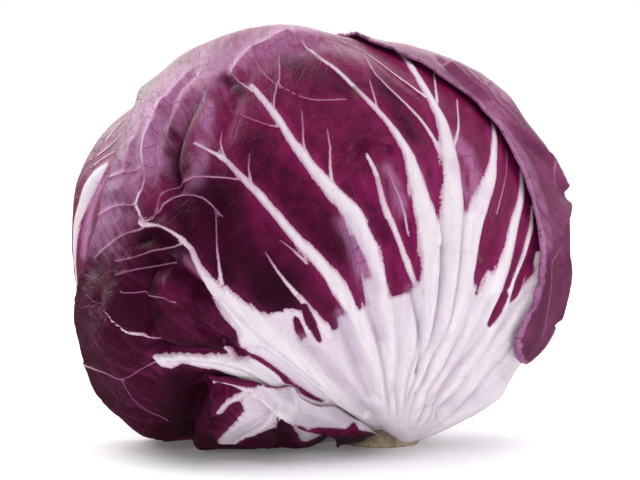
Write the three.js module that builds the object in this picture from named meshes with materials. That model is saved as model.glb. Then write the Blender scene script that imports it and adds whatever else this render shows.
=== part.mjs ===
// Radicchio head: a round head of red chicory with white ribs, tipped a little over its cut stem.
//
// Units are millimetres, +Z is up, +X is to the right and -Y is the front. The origin is on the
// surface that the head rests on, under the middle of its box.
//
// The head is a heart of tightly packed inner leaves on a short cone of stem, wrapped in five
// broad leaves, with the stub of an old leaf outside them. Every shape is worked out from the
// head's middle: a direction says where on the head a point is, and a radius says how far out it
// lies. Each leaf is a thin sheet between two radii, so no leaf can run through the next one.

import * as THREE from 'three';

const { clamp, degToRad, radToDeg, smoothstep } = THREE.MathUtils;

// ---------------------------------------------------------------- driving dimensions, mm

const HEAD = { halfWidth: 60, halfDepth: 56, halfHeight: 50.8 };
const MIDDLE_HEIGHT = 49; // the head's middle above the surface it rests on
const STEM_WAY = new THREE.Vector3(0.28, -0.02, -0.96).normalize();
const STEM = { coneAngle: 10.5, heartAt: 36, bevel: 0.8, sides: 24 }; // half angle, then distances
const LEAF_START_ANGLE = 12.2; // leaves begin this many degrees off the stem's axis

const BLADE = 0.8; // thickness of a leaf's blade
const FOOT_EXTRA = 1.1; // how much thicker a leaf is at its foot
const FOOT_SPREAD = 30; // degrees off the stem's axis over which that fades
const GAP = 1.2; // clear space between one leaf and the next
const RIB = { height: 1.4, tipHeight: 0.4, halfWidth: 1.9, tipHalfWidth: 0.7, spread: 45, closest: 0.3 };
const FLAT_RADIUS = 55; // a flat leaf is wrapped on to a ball of this radius

// Swellings of the head, each as a way out from the middle, a height and a spread in degrees.
const SWELLINGS = [
  { way: [-0.69, -0.35, -0.7], height: 5.0, spread: 18 },
  { way: [-0.71, 0.0, -0.71], height: 6.8, spread: 18 },
  { way: [-0.66, 0.4, -0.68], height: 4.2, spread: 18 },
  { way: [-0.4, -0.1, 0.91], height: 3.6, spread: 18 },
  { way: [0.5, 0.1, 0.86], height: -1.8, spread: 24 },
  { way: [0.76, 0.0, 0.64], height: 1.4, spread: 9 },
  { way: [0.76, -0.15, -0.64], height: 3.6, spread: 13 },
  { way: [-0.93, 0.0, 0.36], height: 1.2, spread: 13 },
  { way: [0.62, 0.0, 0.78], height: 1.5, spread: 13 },
  { way: [-0.12, 0.0, 0.99], height: -0.5, spread: 7 },
  { way: [0.16, 0.0, 0.98], height: -1.0, spread: 8 },
  { way: [0.02, -0.52, -0.85], height: -3.2, spread: 13 },
  { way: STEM_WAY.toArray(), height: -2.2, spread: 12 },
];

// A flat leaf is given by three lines from its foot to its tip: its left margin, its midrib and
// its right margin. Up is towards the tip, and the stem's axis meets the flat leaf at STEM_UP.
const COMMON_LEFT = [[-9, -69], [-24, -57], [-50, -36], [-64, -4], [-60, 36], [-36, 68]];
const COMMON_MIDRIB = [[0, -67.4], [0, -49], [0, -23], [1, 10], [0, 48], [0, 84]];
const COMMON_RIGHT = COMMON_LEFT.map(([across, up]) => [-across, up]);
const COMMON_RIBS = [-0.76, -0.5, -0.25, 0, 0.25, 0.5, 0.76];

// The leaves, innermost first. Azimuth is degrees round the stem's axis, 0 at the front and
// rising to the right. Curl lifts a margin off the leaf below, where nothing covers it.
const LEAVES = [
  { name: 'leaf_inner_back', azimuth: 150, color: 0x5e1f45, curl: 0.3 },
  { name: 'leaf_left', azimuth: -112, color: 0x7a2f63, curl: 0.5 },
  {
    name: 'leaf_front',
    azimuth: 0,
    color: 0x6b1c4a,
    left: [
      [-9, -69], [-28, -57], [-48, -40], [-58.5, -26], [-68, -13],
      [-67, 3], [-55.5, 19.5], [-46.5, 35], [-41, 50], [-42, 68],
    ],
    midrib: [[0, -67.4], [6, -47], [19, -23], [31, 6], [36, 42], [24, 74]],
    right: [[9, -69], [34, -57], [58, -38], [66, -4], [66, 28], [56, 60]],
    ribs: [-0.84, -0.6, -0.4, -0.2, 0, 0.34, 0.68],
    curl: 0.6,
  },
  {
    name: 'leaf_back',
    azimuth: -168,
    color: 0x6b2350,
    left: [[-9, -69], [-24, -57], [-52, -36], [-63, -6], [-58, 26], [-34, 53]],
    midrib: [[0, -67.4], [-4, -49], [-8, -23], [-8, 8], [-3, 38], [0, 64]],
    right: [[9, -69], [22, -57], [44, -36], [54, -6], [50, 30], [30, 58]],
    curl: 1,
  },
  {
    name: 'leaf_right',
    azimuth: 118,
    color: 0x8a5377,
    left: [
      [-8, -69], [-6, -58], [-7, -47], [-20, -40], [-35.4, -43], [-50, -37],
      [-52.8, -26], [-55, -8], [-53.5, 12], [-48, 34], [-34.5, 57], [-17, 69],
    ],
    midrib: [[0, -67.4], [2, -42], [4, -16], [4, 11], [3, 40], [6, 68]],
    right: [[9, -69], [25, -56], [52, -36], [63, -4], [58, 30], [34, 56]],
    curl: 0.5,
  },
  {
    name: 'leaf_stub',
    azimuth: -28,
    color: 0xd9c9cf,
    left: [
      [-7, -68.6], [-1, -61], [3, -54], [-0.3, -46.2],
      [-1.7, -38.5], [-10.5, -47], [-15, -41.7], [-19.1, -37.3],
    ],
    midrib: [
      [0, -67.4], [6, -60.3], [8, -52], [4.5, -42],
      [1.7, -33], [-4, -35], [-8.5, -31.8], [-13.8, -27.8],
    ],
    right: [
      [7, -68.6], [12.5, -59.5], [12.9, -49.8], [8.5, -37.5],
      [4.7, -27.5], [2.2, -24.1], [-1.9, -22.3], [-8.5, -18.7],
    ],
    ribs: [-0.5, 0, 0.5],
    curl: 0.8,
  },
];

const RAGGED = 0.02; // how far a margin wanders in and out, as a share of its distance
const LEAF_ROWS = 16; // rows of cells from a leaf's foot to its tip
const STUB_ROWS = 14;
const OUTLINE_STEPS = 14; // straight pieces along each margin in a leaf's outline
const HEART = { around: 30, rings: 16, innerLeaves: 5, relief: 1.2, twist: 0.55 };

// ---------------------------------------------------------------- the head's outer form

const degreesBetween = (a, b) => radToDeg(Math.acos(clamp(a.dot(b), -1, 1)));
const fade = (degrees, spread) => Math.exp(-0.5 * (degrees / spread) ** 2);

for (const swelling of SWELLINGS) {
  swelling.direction = new THREE.Vector3(...swelling.way).normalize();
}

/** How far the head's outside is from its middle along a direction: an ellipsoid with swellings. */
function headRadius(direction) {
  const { halfWidth, halfDepth, halfHeight } = HEAD;
  let radius = 1 / Math.hypot(direction.x / halfWidth, direction.y / halfDepth, direction.z / halfHeight);
  for (const { direction: way, height, spread } of SWELLINGS) {
    radius += height * fade(degreesBetween(direction, way), spread);
  }
  return radius;
}

/** A radius held back so that nothing comes nearer than this to the resting surface. */
function keepAbove(height, direction, radius) {
  return direction.z < 0 ? Math.min(radius, (MIDDLE_HEIGHT - height) / -direction.z) : radius;
}

// ---------------------------------------------------------------- flat leaves and where they lie

const FRONT_WAY = new THREE.Vector3(0, -1, 0).projectOnPlane(STEM_WAY).normalize();
const RIGHT_WAY = new THREE.Vector3().crossVectors(FRONT_WAY, STEM_WAY);
const CENTRE_ANGLE = 88; // degrees from the stem's axis to the middle of a leaf

/** A leaf with its three lines as curves, and the axes of the flat leaf where it touches the head. */
function prepareLeaf(spec) {
  const curve = (points) => new THREE.SplineCurve(points.map(([x, y]) => new THREE.Vector2(x, y)));
  const azimuth = degToRad(spec.azimuth);
  const away = FRONT_WAY.clone().multiplyScalar(Math.cos(azimuth));
  away.addScaledVector(RIGHT_WAY, Math.sin(azimuth));
  const tilt = degToRad(CENTRE_ANGLE);
  const outward = STEM_WAY.clone().multiplyScalar(Math.cos(tilt)).addScaledVector(away, Math.sin(tilt));
  const up = STEM_WAY.clone().multiplyScalar(-Math.sin(tilt)).addScaledVector(away, Math.cos(tilt));
  const ribs = spec.ribs ?? COMMON_RIBS;
  const leaf = {
    ...spec,
    ribs,
    ribSpacing: Math.min(...ribs.slice(1).map((rib, i) => rib - ribs[i])),
    curl: spec.curl ?? 0,
    leftLine: curve(spec.left ?? COMMON_LEFT),
    midLine: curve(spec.midrib ?? COMMON_MIDRIB),
    rightLine: curve(spec.right ?? COMMON_RIGHT),
    outward,
    up,
    across: new THREE.Vector3().crossVectors(up, outward),
  };
  leaf.outline = outlineOf(leaf);
  return leaf;
}

/** The point of the flat leaf at u, from -1 on the left margin to 1 on the right, and v, from 0
 * at the foot to 1 at the tip: a parabola through the three lines. */
function flatPoint(leaf, u, v) {
  const left = leaf.leftLine.getPoint(v).multiplyScalar((u * u - u) / 2);
  const middle = leaf.midLine.getPoint(v).multiplyScalar(1 - u * u);
  return leaf.rightLine.getPoint(v).multiplyScalar((u * u + u) / 2).add(left).add(middle);
}

function outlineOf(leaf) {
  const points = [];
  for (let i = 0; i <= OUTLINE_STEPS; i++) points.push(flatPoint(leaf, -1, i / OUTLINE_STEPS));
  for (let i = 1; i < OUTLINE_STEPS; i++) points.push(flatPoint(leaf, -1 + (2 * i) / OUTLINE_STEPS, 1));
  for (let i = OUTLINE_STEPS; i >= 0; i--) points.push(flatPoint(leaf, 1, i / OUTLINE_STEPS));
  points.push(flatPoint(leaf, 0, 0));
  return points;
}

/** Equal-area wrapping: the way out from the head's middle to a point of the flat leaf. */
function wrap(leaf, flat) {
  const distance = flat.length() / FLAT_RADIUS;
  const angle = 2 * Math.asin(Math.min(distance / 2, 1));
  const along = flat.length() > 0 ? Math.sin(angle) / flat.length() : 0;
  return new THREE.Vector3()
    .addScaledVector(leaf.outward, Math.cos(angle))
    .addScaledVector(leaf.across, flat.x * along)
    .addScaledVector(leaf.up, flat.y * along);
}

/** The inverse of wrap. */
function unwrap(leaf, direction) {
  const angle = Math.acos(clamp(direction.dot(leaf.outward), -1, 1));
  const scale = (2 * FLAT_RADIUS * Math.sin(angle / 2)) / Math.max(Math.sin(angle), 1e-6);
  return new THREE.Vector2(direction.dot(leaf.across), direction.dot(leaf.up)).multiplyScalar(scale);
}

/** Distance from a flat point to a leaf's outline, in mm, and 0 inside it. */
function distanceOutside(outline, point) {
  let inside = false;
  let nearest = Infinity;
  for (let i = 0, j = outline.length - 1; i < outline.length; j = i++) {
    const a = outline[j];
    const b = outline[i];
    if (a.y > point.y !== b.y > point.y) {
      const crossing = a.x + ((point.y - a.y) / (b.y - a.y)) * (b.x - a.x);
      if (point.x < crossing) inside = !inside;
    }
    const side = b.clone().sub(a);
    const share = clamp(point.clone().sub(a).dot(side) / side.lengthSq(), 0, 1);
    nearest = Math.min(nearest, a.clone().addScaledVector(side, share).distanceTo(point));
  }
  return inside ? 0 : nearest;
}

// ---------------------------------------------------------------- how the leaves lie on each other

const thickness = (direction) => BLADE + FOOT_EXTRA * fade(degreesBetween(direction, STEM_WAY), FOOT_SPREAD);

/** 1 where a leaf lies and a little way round it, falling smoothly to 0 beyond. */
function cover(leaf, direction) {
  const open = smoothstep(degreesBetween(direction, STEM_WAY), LEAF_START_ANGLE, 60);
  const reach = 1.5 + 3.5 * open;
  const falloff = 7 + 17 * open;
  const outside = distanceOutside(leaf.outline, unwrap(leaf, direction));
  return 1 - smoothstep(outside, reach, reach + falloff);
}

/** Ribs stand highest near the stem and fade towards the tip. */
function ribHeight(direction) {
  return RIB.tipHeight + (RIB.height - RIB.tipHeight) * fade(degreesBetween(direction, STEM_WAY), RIB.spread);
}

/** Room that one leaf takes under the next: its blade, its ribs and the gap. */
const layerStep = (direction) => thickness(direction) + ribHeight(direction) + GAP;

/** How deep under the head's outside a leaf's outer face lies: a step for each leaf that covers it.
 * Leaves from firstAbove outwards are the ones that cover it. */
function layerDepth(firstAbove, direction) {
  let layers = 0;
  for (let i = firstAbove; i < leaves.length; i++) layers += cover(leaves[i], direction);
  return layers * layerStep(direction);
}

/** The point this deep under the head's outside, and under the flat spot that it rests on, or
 * further inside by a leaf's thickness. A negative depth is lifted off the head. */
function pointAtDepth(direction, depth, inside = 0) {
  const height = Math.max(depth, 0) + inside;
  const radius = keepAbove(height, direction, headRadius(direction) - depth - inside);
  return direction.clone().multiplyScalar(radius);
}

/** 1 where no leaf further out covers this one, 0 where one does. */
function exposure(index, direction) {
  let bare = 1;
  for (let i = index + 1; i < leaves.length; i++) bare *= 1 - cover(leaves[i], direction);
  return bare;
}

// ---------------------------------------------------------------- solids from grids

/** A closed solid from two grids of points with the same rows and columns, one the outer face and
 * one the inner, joined round their rim. Both faces are split along the same diagonals. */
function sheetGeometry(outer, inner) {
  const rows = outer.length;
  const columns = outer[0].length;
  const positions = [...outer, ...inner].flat().flatMap((p) => p.toArray());
  const at = (row, column, face) => (face * rows + row) * columns + column;
  const index = [];
  const quad = (a, b, c, d) => index.push(a, b, c, a, c, d);
  for (let r = 0; r < rows - 1; r++) {
    for (let c = 0; c < columns - 1; c++) {
      quad(at(r, c, 0), at(r, c + 1, 0), at(r + 1, c + 1, 0), at(r + 1, c, 0));
      index.push(at(r, c, 1), at(r + 1, c + 1, 1), at(r, c + 1, 1));
      index.push(at(r, c, 1), at(r + 1, c, 1), at(r + 1, c + 1, 1));
    }
  }
  for (let c = 0; c < columns - 1; c++) {
    quad(at(0, c + 1, 0), at(0, c, 0), at(0, c, 1), at(0, c + 1, 1));
    quad(at(rows - 1, c, 0), at(rows - 1, c + 1, 0), at(rows - 1, c + 1, 1), at(rows - 1, c, 1));
  }
  for (let r = 0; r < rows - 1; r++) {
    quad(at(r, 0, 0), at(r + 1, 0, 0), at(r + 1, 0, 1), at(r, 0, 1));
    quad(at(r + 1, columns - 1, 0), at(r, columns - 1, 0), at(r, columns - 1, 1), at(r + 1, columns - 1, 1));
  }
  return indexed(positions, index);
}

/** A closed solid from a first point, rings of points round the stem's axis, and a last point. */
function ringsGeometry(first, rings, last) {
  const around = rings[0].length;
  const positions = [first, ...rings.flat(), last].flatMap((p) => p.toArray());
  const at = (ring, k) => 1 + ring * around + (k % around);
  const end = 1 + rings.length * around;
  const index = [];
  for (let k = 0; k < around; k++) {
    index.push(0, at(0, k), at(0, k + 1));
    for (let ring = 0; ring < rings.length - 1; ring++) {
      index.push(at(ring, k), at(ring + 1, k), at(ring + 1, k + 1));
      index.push(at(ring, k), at(ring + 1, k + 1), at(ring, k + 1));
    }
    index.push(end, at(rings.length - 1, k + 1), at(rings.length - 1, k));
  }
  return indexed(positions, index);
}

function indexed(positions, index) {
  const geometry = new THREE.BufferGeometry();
  geometry.setAttribute('position', new THREE.Float32BufferAttribute(positions, 3));
  geometry.setIndex(index);
  geometry.computeVertexNormals();
  return geometry;
}

// ---------------------------------------------------------------- the leaves

/** The columns of a leaf's grid: its margins, the foot, crest and foot of each rib, and a valley
 * on each side of a rib. Each says where it is, and on which side of a rib. */
function leafColumns(leaf) {
  const columns = [{ at: -1 }];
  leaf.ribs.forEach((rib, i) => {
    const before = i > 0 ? leaf.ribs[i - 1] : -1;
    columns.push({ at: (before + rib) / 2 });
    columns.push({ at: rib, side: -1 }, { at: rib, side: 0 }, { at: rib, side: 1 });
  });
  columns.push({ at: (leaf.ribs.at(-1) + 1) / 2 }, { at: 1 });
  return columns;
}

/** A small even wobble, the same every time, from -1 to 1. */
const wobble = (n) => 2 * (Math.abs(Math.sin(n * 12.9898 + 4.1) * 43758.5453) % 1) - 1;

function leafMesh(leaf, index) {
  const rowCount = leaf.ribs.length > 3 ? LEAF_ROWS : STUB_ROWS;
  const columns = leafColumns(leaf);
  const outer = [];
  const inner = [];
  for (let row = 0; row <= rowCount; row++) {
    const v = row / rowCount;
    const halfRow = leaf.leftLine.getPoint(v).distanceTo(leaf.rightLine.getPoint(v)) / 2;
    const ribHalf = RIB.halfWidth + (RIB.tipHalfWidth - RIB.halfWidth) * v;
    const ribHalfShare = Math.min(ribHalf / halfRow, RIB.closest * leaf.ribSpacing);
    outer.push([]);
    inner.push([]);
    columns.forEach(({ at, side }, column) => {
      const u = at + (side ?? 0) * ribHalfShare;
      const flat = flatPoint(leaf, u, v);
      const edge = Math.max(Math.abs(u) ** 6, v ** 8);
      if (edge === 1 && row > 0) flat.multiplyScalar(1 + RAGGED * wobble(row + 7 * column + 31 * index));
      const direction = wrap(leaf, flat);
      const bare = exposure(index, direction);
      const wave = 0.6 * Math.sin(9 * v * Math.PI + 2 * index) + 0.4 * Math.sin(17 * u + index);
      const lift = bare * edge * leaf.curl * (1 + 0.5 * wave);
      const depth = layerDepth(index + 1, direction) - lift;
      const crest = side === 0 ? ribHeight(direction) * (1 - 0.35 * Math.abs(at)) : 0;
      outer[row].push(pointAtDepth(direction, depth - crest));
      inner[row].push(pointAtDepth(direction, depth, thickness(direction)));
    });
  }
  return named(leaf.name, sheetGeometry(outer, inner), leaf.color, 0.4);
}

// ---------------------------------------------------------------- heart and stem

/** The way out at an angle off the stem's axis and an azimuth round it, both in degrees. */
function aroundStem(offAxis, azimuth) {
  const tilt = degToRad(offAxis);
  const turn = degToRad(azimuth);
  return STEM_WAY.clone()
    .multiplyScalar(Math.cos(tilt))
    .addScaledVector(FRONT_WAY, Math.sin(tilt) * Math.cos(turn))
    .addScaledVector(RIGHT_WAY, Math.sin(tilt) * Math.sin(turn));
}

/** A point of the heart's outside: under every leaf, drawn in round the stem, with its own inner
 * leaves as a spiral of low steps. */
function heartPoint(offAxis, azimuth) {
  const direction = aroundStem(offAxis, azimuth);
  const turns = (azimuth / 360) * HEART.innerLeaves + HEART.twist * (offAxis / 90);
  const step = turns - Math.floor(turns);
  const relief = HEART.relief * step * Math.sin(degToRad(offAxis));
  const drawnIn = STEM.heartAt + 0.6 * Math.max(offAxis - STEM.coneAngle, 0);
  return pointAtDepth(direction, layerDepth(0, direction) + GAP + relief).clampLength(0, drawnIn);
}

function heartMesh() {
  const rings = [];
  for (let ring = 1; ring < HEART.rings; ring++) {
    const offAxis = (180 * ring) / HEART.rings;
    rings.push([]);
    for (let k = 0; k < HEART.around; k++) {
      const azimuth = (-360 * k) / HEART.around;
      rings.at(-1).push(heartPoint(offAxis, azimuth));
    }
  }
  const heart = ringsGeometry(heartPoint(0, 0), rings, heartPoint(180, 0));
  return named('heart', heart, 0x8a3a6c, 0.45);
}

/** The stem is a cone from just clear of the heart down to a cut that lies flat where it rests. */
function stemMesh() {
  const { coneAngle, heartAt, bevel, sides } = STEM;
  const top = heartAt + 0.5;
  const ring = (offAxis, distanceOf) =>
    Array.from({ length: sides }, (_, k) => {
      const direction = aroundStem(offAxis, (360 * k) / sides);
      return direction.multiplyScalar(distanceOf(direction));
    });
  const toPlane = (distance) => (direction) => distance / direction.dot(STEM_WAY);
  const toSurface = (lift) => (direction) => (MIDDLE_HEIGHT - lift) / -direction.z;
  const rings = [
    ring(coneAngle * 0.9, toPlane(top)),
    ring(coneAngle, toPlane(top + 1)),
    ring(coneAngle, toSurface(bevel)),
    ring(coneAngle * 0.93, toSurface(0)),
  ];
  const first = STEM_WAY.clone().multiplyScalar(top);
  const last = STEM_WAY.clone().multiplyScalar(toSurface(0)(STEM_WAY));
  return named('stem', ringsGeometry(first, rings, last), 0xd8c6a8, 0.8);
}

// ---------------------------------------------------------------- the head

function named(name, geometry, color, roughness) {
  const mesh = new THREE.Mesh(geometry, new THREE.MeshStandardMaterial({ color, roughness, metalness: 0 }));
  mesh.name = name;
  return mesh;
}

const leaves = LEAVES.map(prepareLeaf);

const radicchio = new THREE.Group();
radicchio.add(stemMesh(), heartMesh(), ...leaves.map(leafMesh));
const centre = new THREE.Box3().setFromObject(radicchio).getCenter(new THREE.Vector3());
radicchio.position.set(-centre.x, -centre.y, MIDDLE_HEIGHT);

export default radicchio;
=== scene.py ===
# %% [markdown]
# # A head of radicchio
#
# A radicchio is a ball of thin wine-coloured leaves, each with white ribs that run together at
# its foot. This lesson dresses the plain solids of such a head: every leaf gets its real
# surface, with ribs, folds and ragged margins, and a finish of wine skin, white rib and fine
# veins. We start by loading the plain model, which fixes where everything goes.

import bpy
import numpy as np
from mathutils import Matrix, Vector


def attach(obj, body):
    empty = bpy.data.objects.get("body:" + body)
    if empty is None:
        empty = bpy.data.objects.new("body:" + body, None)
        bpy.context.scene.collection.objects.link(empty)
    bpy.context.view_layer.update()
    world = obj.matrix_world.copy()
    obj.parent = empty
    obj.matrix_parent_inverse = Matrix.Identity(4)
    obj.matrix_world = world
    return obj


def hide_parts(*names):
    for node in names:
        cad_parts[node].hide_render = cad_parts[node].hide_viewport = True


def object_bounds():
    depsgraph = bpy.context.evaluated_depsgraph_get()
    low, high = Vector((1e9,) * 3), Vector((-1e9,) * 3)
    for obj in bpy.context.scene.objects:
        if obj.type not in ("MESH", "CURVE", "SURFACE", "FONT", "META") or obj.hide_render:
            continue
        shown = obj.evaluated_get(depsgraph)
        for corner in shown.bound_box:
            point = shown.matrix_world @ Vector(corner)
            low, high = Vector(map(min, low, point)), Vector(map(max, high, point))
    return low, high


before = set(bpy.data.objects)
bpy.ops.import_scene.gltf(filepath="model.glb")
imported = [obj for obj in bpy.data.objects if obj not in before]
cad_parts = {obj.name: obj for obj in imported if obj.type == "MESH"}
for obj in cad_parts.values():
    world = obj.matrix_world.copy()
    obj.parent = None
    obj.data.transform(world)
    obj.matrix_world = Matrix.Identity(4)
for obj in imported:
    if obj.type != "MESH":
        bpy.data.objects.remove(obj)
cad_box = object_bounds()
print("plain model loaded:", sorted(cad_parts))

# %% [markdown]
# ## The form of the head
#
# A head could be sculpted freely, but then its leaves would soon run through each other. It is
# worked out from its middle instead: a direction says where on the head a point is, and a
# radius says how far out it lies. The outside is an ellipsoid with a few broad swellings, the
# same one that the plain solids follow. All lengths are in millimetres until a mesh is made.

# %% The outside of the head
MIDDLE_HEIGHT = 49.0
MIDDLE = np.array([-0.7788, 0.0825, MIDDLE_HEIGHT])  # from the point on the table under the head
HEAD_BOX = np.array(cad_box) * 1000 - MIDDLE  # the plain model's corners, from the middle
HALF_AXES = np.array([60.0, 56.0, 50.8])
LARGEST_RADIUS = 75.0  # no part of the head is further out than this
STEM_WAY = np.array([0.28, -0.02, -0.96]) / np.linalg.norm([0.28, -0.02, -0.96])

# Each swelling: its direction from the middle, its height, and its spread in degrees.
SWELLINGS = [
    ((-0.69, -0.35, -0.70), 5.0, 18),
    ((-0.71, 0.0, -0.71), 6.8, 18),
    ((-0.66, 0.40, -0.68), 4.2, 18),
    ((-0.4, -0.1, 0.91), 3.6, 18),
    ((0.5, 0.1, 0.86), -1.8, 24),
    ((0.76, 0.0, 0.64), 1.4, 9),
    ((0.76, -0.15, -0.64), 3.6, 13),
    ((-0.93, 0.0, 0.36), 1.2, 13),
    ((0.62, 0.0, 0.78), 1.5, 13),
    ((-0.12, 0.0, 0.99), -0.5, 7),
    ((0.16, 0.0, 0.98), -1.0, 8),
    ((0.02, -0.52, -0.85), -3.2, 13),
    (tuple(STEM_WAY), -2.2, 12),
]


def unit(vectors):
    """Vectors divided by their own length."""
    vectors = np.asarray(vectors, float)
    return vectors / np.linalg.norm(vectors, axis=-1, keepdims=True)


def degrees_from(ways, way):
    """Angle between directions and one direction: the arc cosine of their dot product."""
    return np.degrees(np.arccos(np.clip(ways @ unit(way), -1, 1)))


def fade(degrees, spread):
    """A bell curve: e to the minus half of (degrees over spread) squared."""
    return np.exp(-0.5 * (degrees / spread) ** 2)


def smoothstep(value, low, high):
    """0 below low, 1 above high, and 3t^2 - 2t^3 between them."""
    t = np.clip((value - low) / (high - low), 0, 1)
    return t * t * (3 - 2 * t)


def plain_radius(ways):
    """The ellipsoid's radius, 1 over the length of the direction divided by the half axes, plus
    every swelling's height times its fade."""
    radius = 1 / np.linalg.norm(ways / HALF_AXES, axis=-1)
    for way, height, spread in SWELLINGS:
        radius = radius + height * fade(degrees_from(ways, way), spread)
    return radius


print("head is", 2 * HALF_AXES, "mm before its swellings")

# %% [markdown]
# ## Smooth chance
#
# Nothing on a leaf is quite even. A smooth noise gives bumps of a chosen size that are the same
# on every run: each corner of a lattice gets a value from a mixing of its whole numbers, and a
# point takes a smooth blend of the corners round it.

# %% Noise on a lattice


def lattice_value(ix, iy, iz, seed):
    """An even spread of values from -1 to 1, mixed from whole numbers."""
    mixed = (ix * 73856093) ^ (iy * 19349663) ^ (iz * 83492791) ^ (seed * 2654435761)
    mixed = (mixed ^ (mixed >> 13)) * 1274126177 & 0x7FFFFFFF
    mixed = (mixed ^ (mixed >> 16)) * 668265263 & 0x7FFFFFFF
    return (mixed & 0xFFFFFF) / 0x7FFFFF - 1.0


def noise(points, size, seed=0):
    """Value noise: for points of three columns in units of size, the eight corners of a lattice
    cell blended by 3t^2 - 2t^3 along each axis."""
    scaled = np.asarray(points, float) / size
    low = np.floor(scaled).astype(np.int64)
    t = scaled - low
    t = t * t * (3 - 2 * t)
    total = np.zeros(len(scaled))
    for dx in (0, 1):
        for dy in (0, 1):
            for dz in (0, 1):
                share = np.abs(1 - dx - t[:, 0]) * np.abs(1 - dy - t[:, 1]) * np.abs(1 - dz - t[:, 2])
                total += share * lattice_value(low[:, 0] + dx, low[:, 1] + dy, low[:, 2] + dz, seed)
    return total


def plane_noise(flat, size, seed=0):
    """Noise over a flat sheet: the lattice noise with a third column that never changes."""
    return noise(np.column_stack([flat, np.full(len(flat), 0.37)]), size, seed)


print("noise at three points:", noise(np.eye(3), 2.0, 1).round(3))

# %% [markdown]
# ## The camera
#
# The head is seen from the front and a little above, from 640 mm away with a long lens. The
# camera comes early because the ribs and folds are laid out by where they are seen in its
# frame of 640 by 480 picture points.

# %% Camera and the way through a picture point
FRAME_WIDTH = 640  # picture points
FRAME_HEIGHT = 480
EYE_DISTANCE = 640.0
EYE_RISE = np.radians(5.0)
POINT_SIZE = 0.2386  # mm at the head's middle
SEEN_MIDDLE = np.array([322.0, 238.0])  # where the point over the origin is seen
SENSOR_WIDTH = 36.0  # mm

LOOK = np.array([0, np.cos(EYE_RISE), -np.sin(EYE_RISE)])
LOOK_UP = np.array([0, np.sin(EYE_RISE), np.cos(EYE_RISE)])
LOOK_RIGHT = np.array([1.0, 0, 0])
EYE = np.array([0, 0, MIDDLE_HEIGHT]) - LOOK * EYE_DISTANCE

camera_data = bpy.data.cameras.new("camera")
camera_data.sensor_width = SENSOR_WIDTH
camera_data.lens = SENSOR_WIDTH * EYE_DISTANCE / (FRAME_WIDTH * POINT_SIZE)
camera_data.shift_x = -(SEEN_MIDDLE[0] - FRAME_WIDTH / 2) / FRAME_WIDTH
camera_data.shift_y = (SEEN_MIDDLE[1] - FRAME_HEIGHT / 2) / FRAME_WIDTH
camera_data.clip_start = 0.02
camera_data.clip_end = 20
camera = bpy.data.objects.new("camera", camera_data)
bpy.context.scene.collection.objects.link(camera)
camera.location = Vector(EYE / 1000)
camera.rotation_euler = Vector(LOOK).to_track_quat("-Z", "Y").to_euler()
bpy.context.scene.camera = camera

RAY_STEPS = 60
RAY_STEP_SHARE = 0.7  # of what the surface is still away


def ways_through(picture_points, lower=0.0):
    """Directions from the head's middle to where the lines of sight through picture points meet
    the plain form, or one that is lower by some millimetres: each step along the ray is a share
    of what the surface is still away. A line that passes the head gives its nearest approach."""
    picture_points = np.asarray(picture_points, float)
    across = (picture_points[:, 0] - SEEN_MIDDLE[0]) * POINT_SIZE
    rise = (SEEN_MIDDLE[1] - picture_points[:, 1]) * POINT_SIZE
    rays = unit(LOOK * EYE_DISTANCE + LOOK_RIGHT * across[:, None] + LOOK_UP * rise[:, None])
    start = EYE - MIDDLE
    nearest = -(rays @ start)
    travel = np.maximum(nearest - LARGEST_RADIUS, 0)
    for _ in range(RAY_STEPS):
        here = start + rays * travel[:, None]
        miss = np.linalg.norm(here, axis=1) - plain_radius(unit(here)) + lower
        travel = np.minimum(travel + RAY_STEP_SHARE * miss, nearest)
    return unit(start + rays * travel[:, None])


print("camera lens %.1f mm" % camera_data.lens)

# %% [markdown]
# ## Leaves as flat shapes
#
# A leaf could be bent from a flat plane with modifiers, but it has to lie just so on its
# neighbours. Each leaf is drawn flat instead, by three lines from its foot to its tip: left
# margin, midrib and right margin. The flat shape is then wrapped on to a ball by a map that
# keeps areas, so that a flat millimetre stays about a millimetre on the head.

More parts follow.
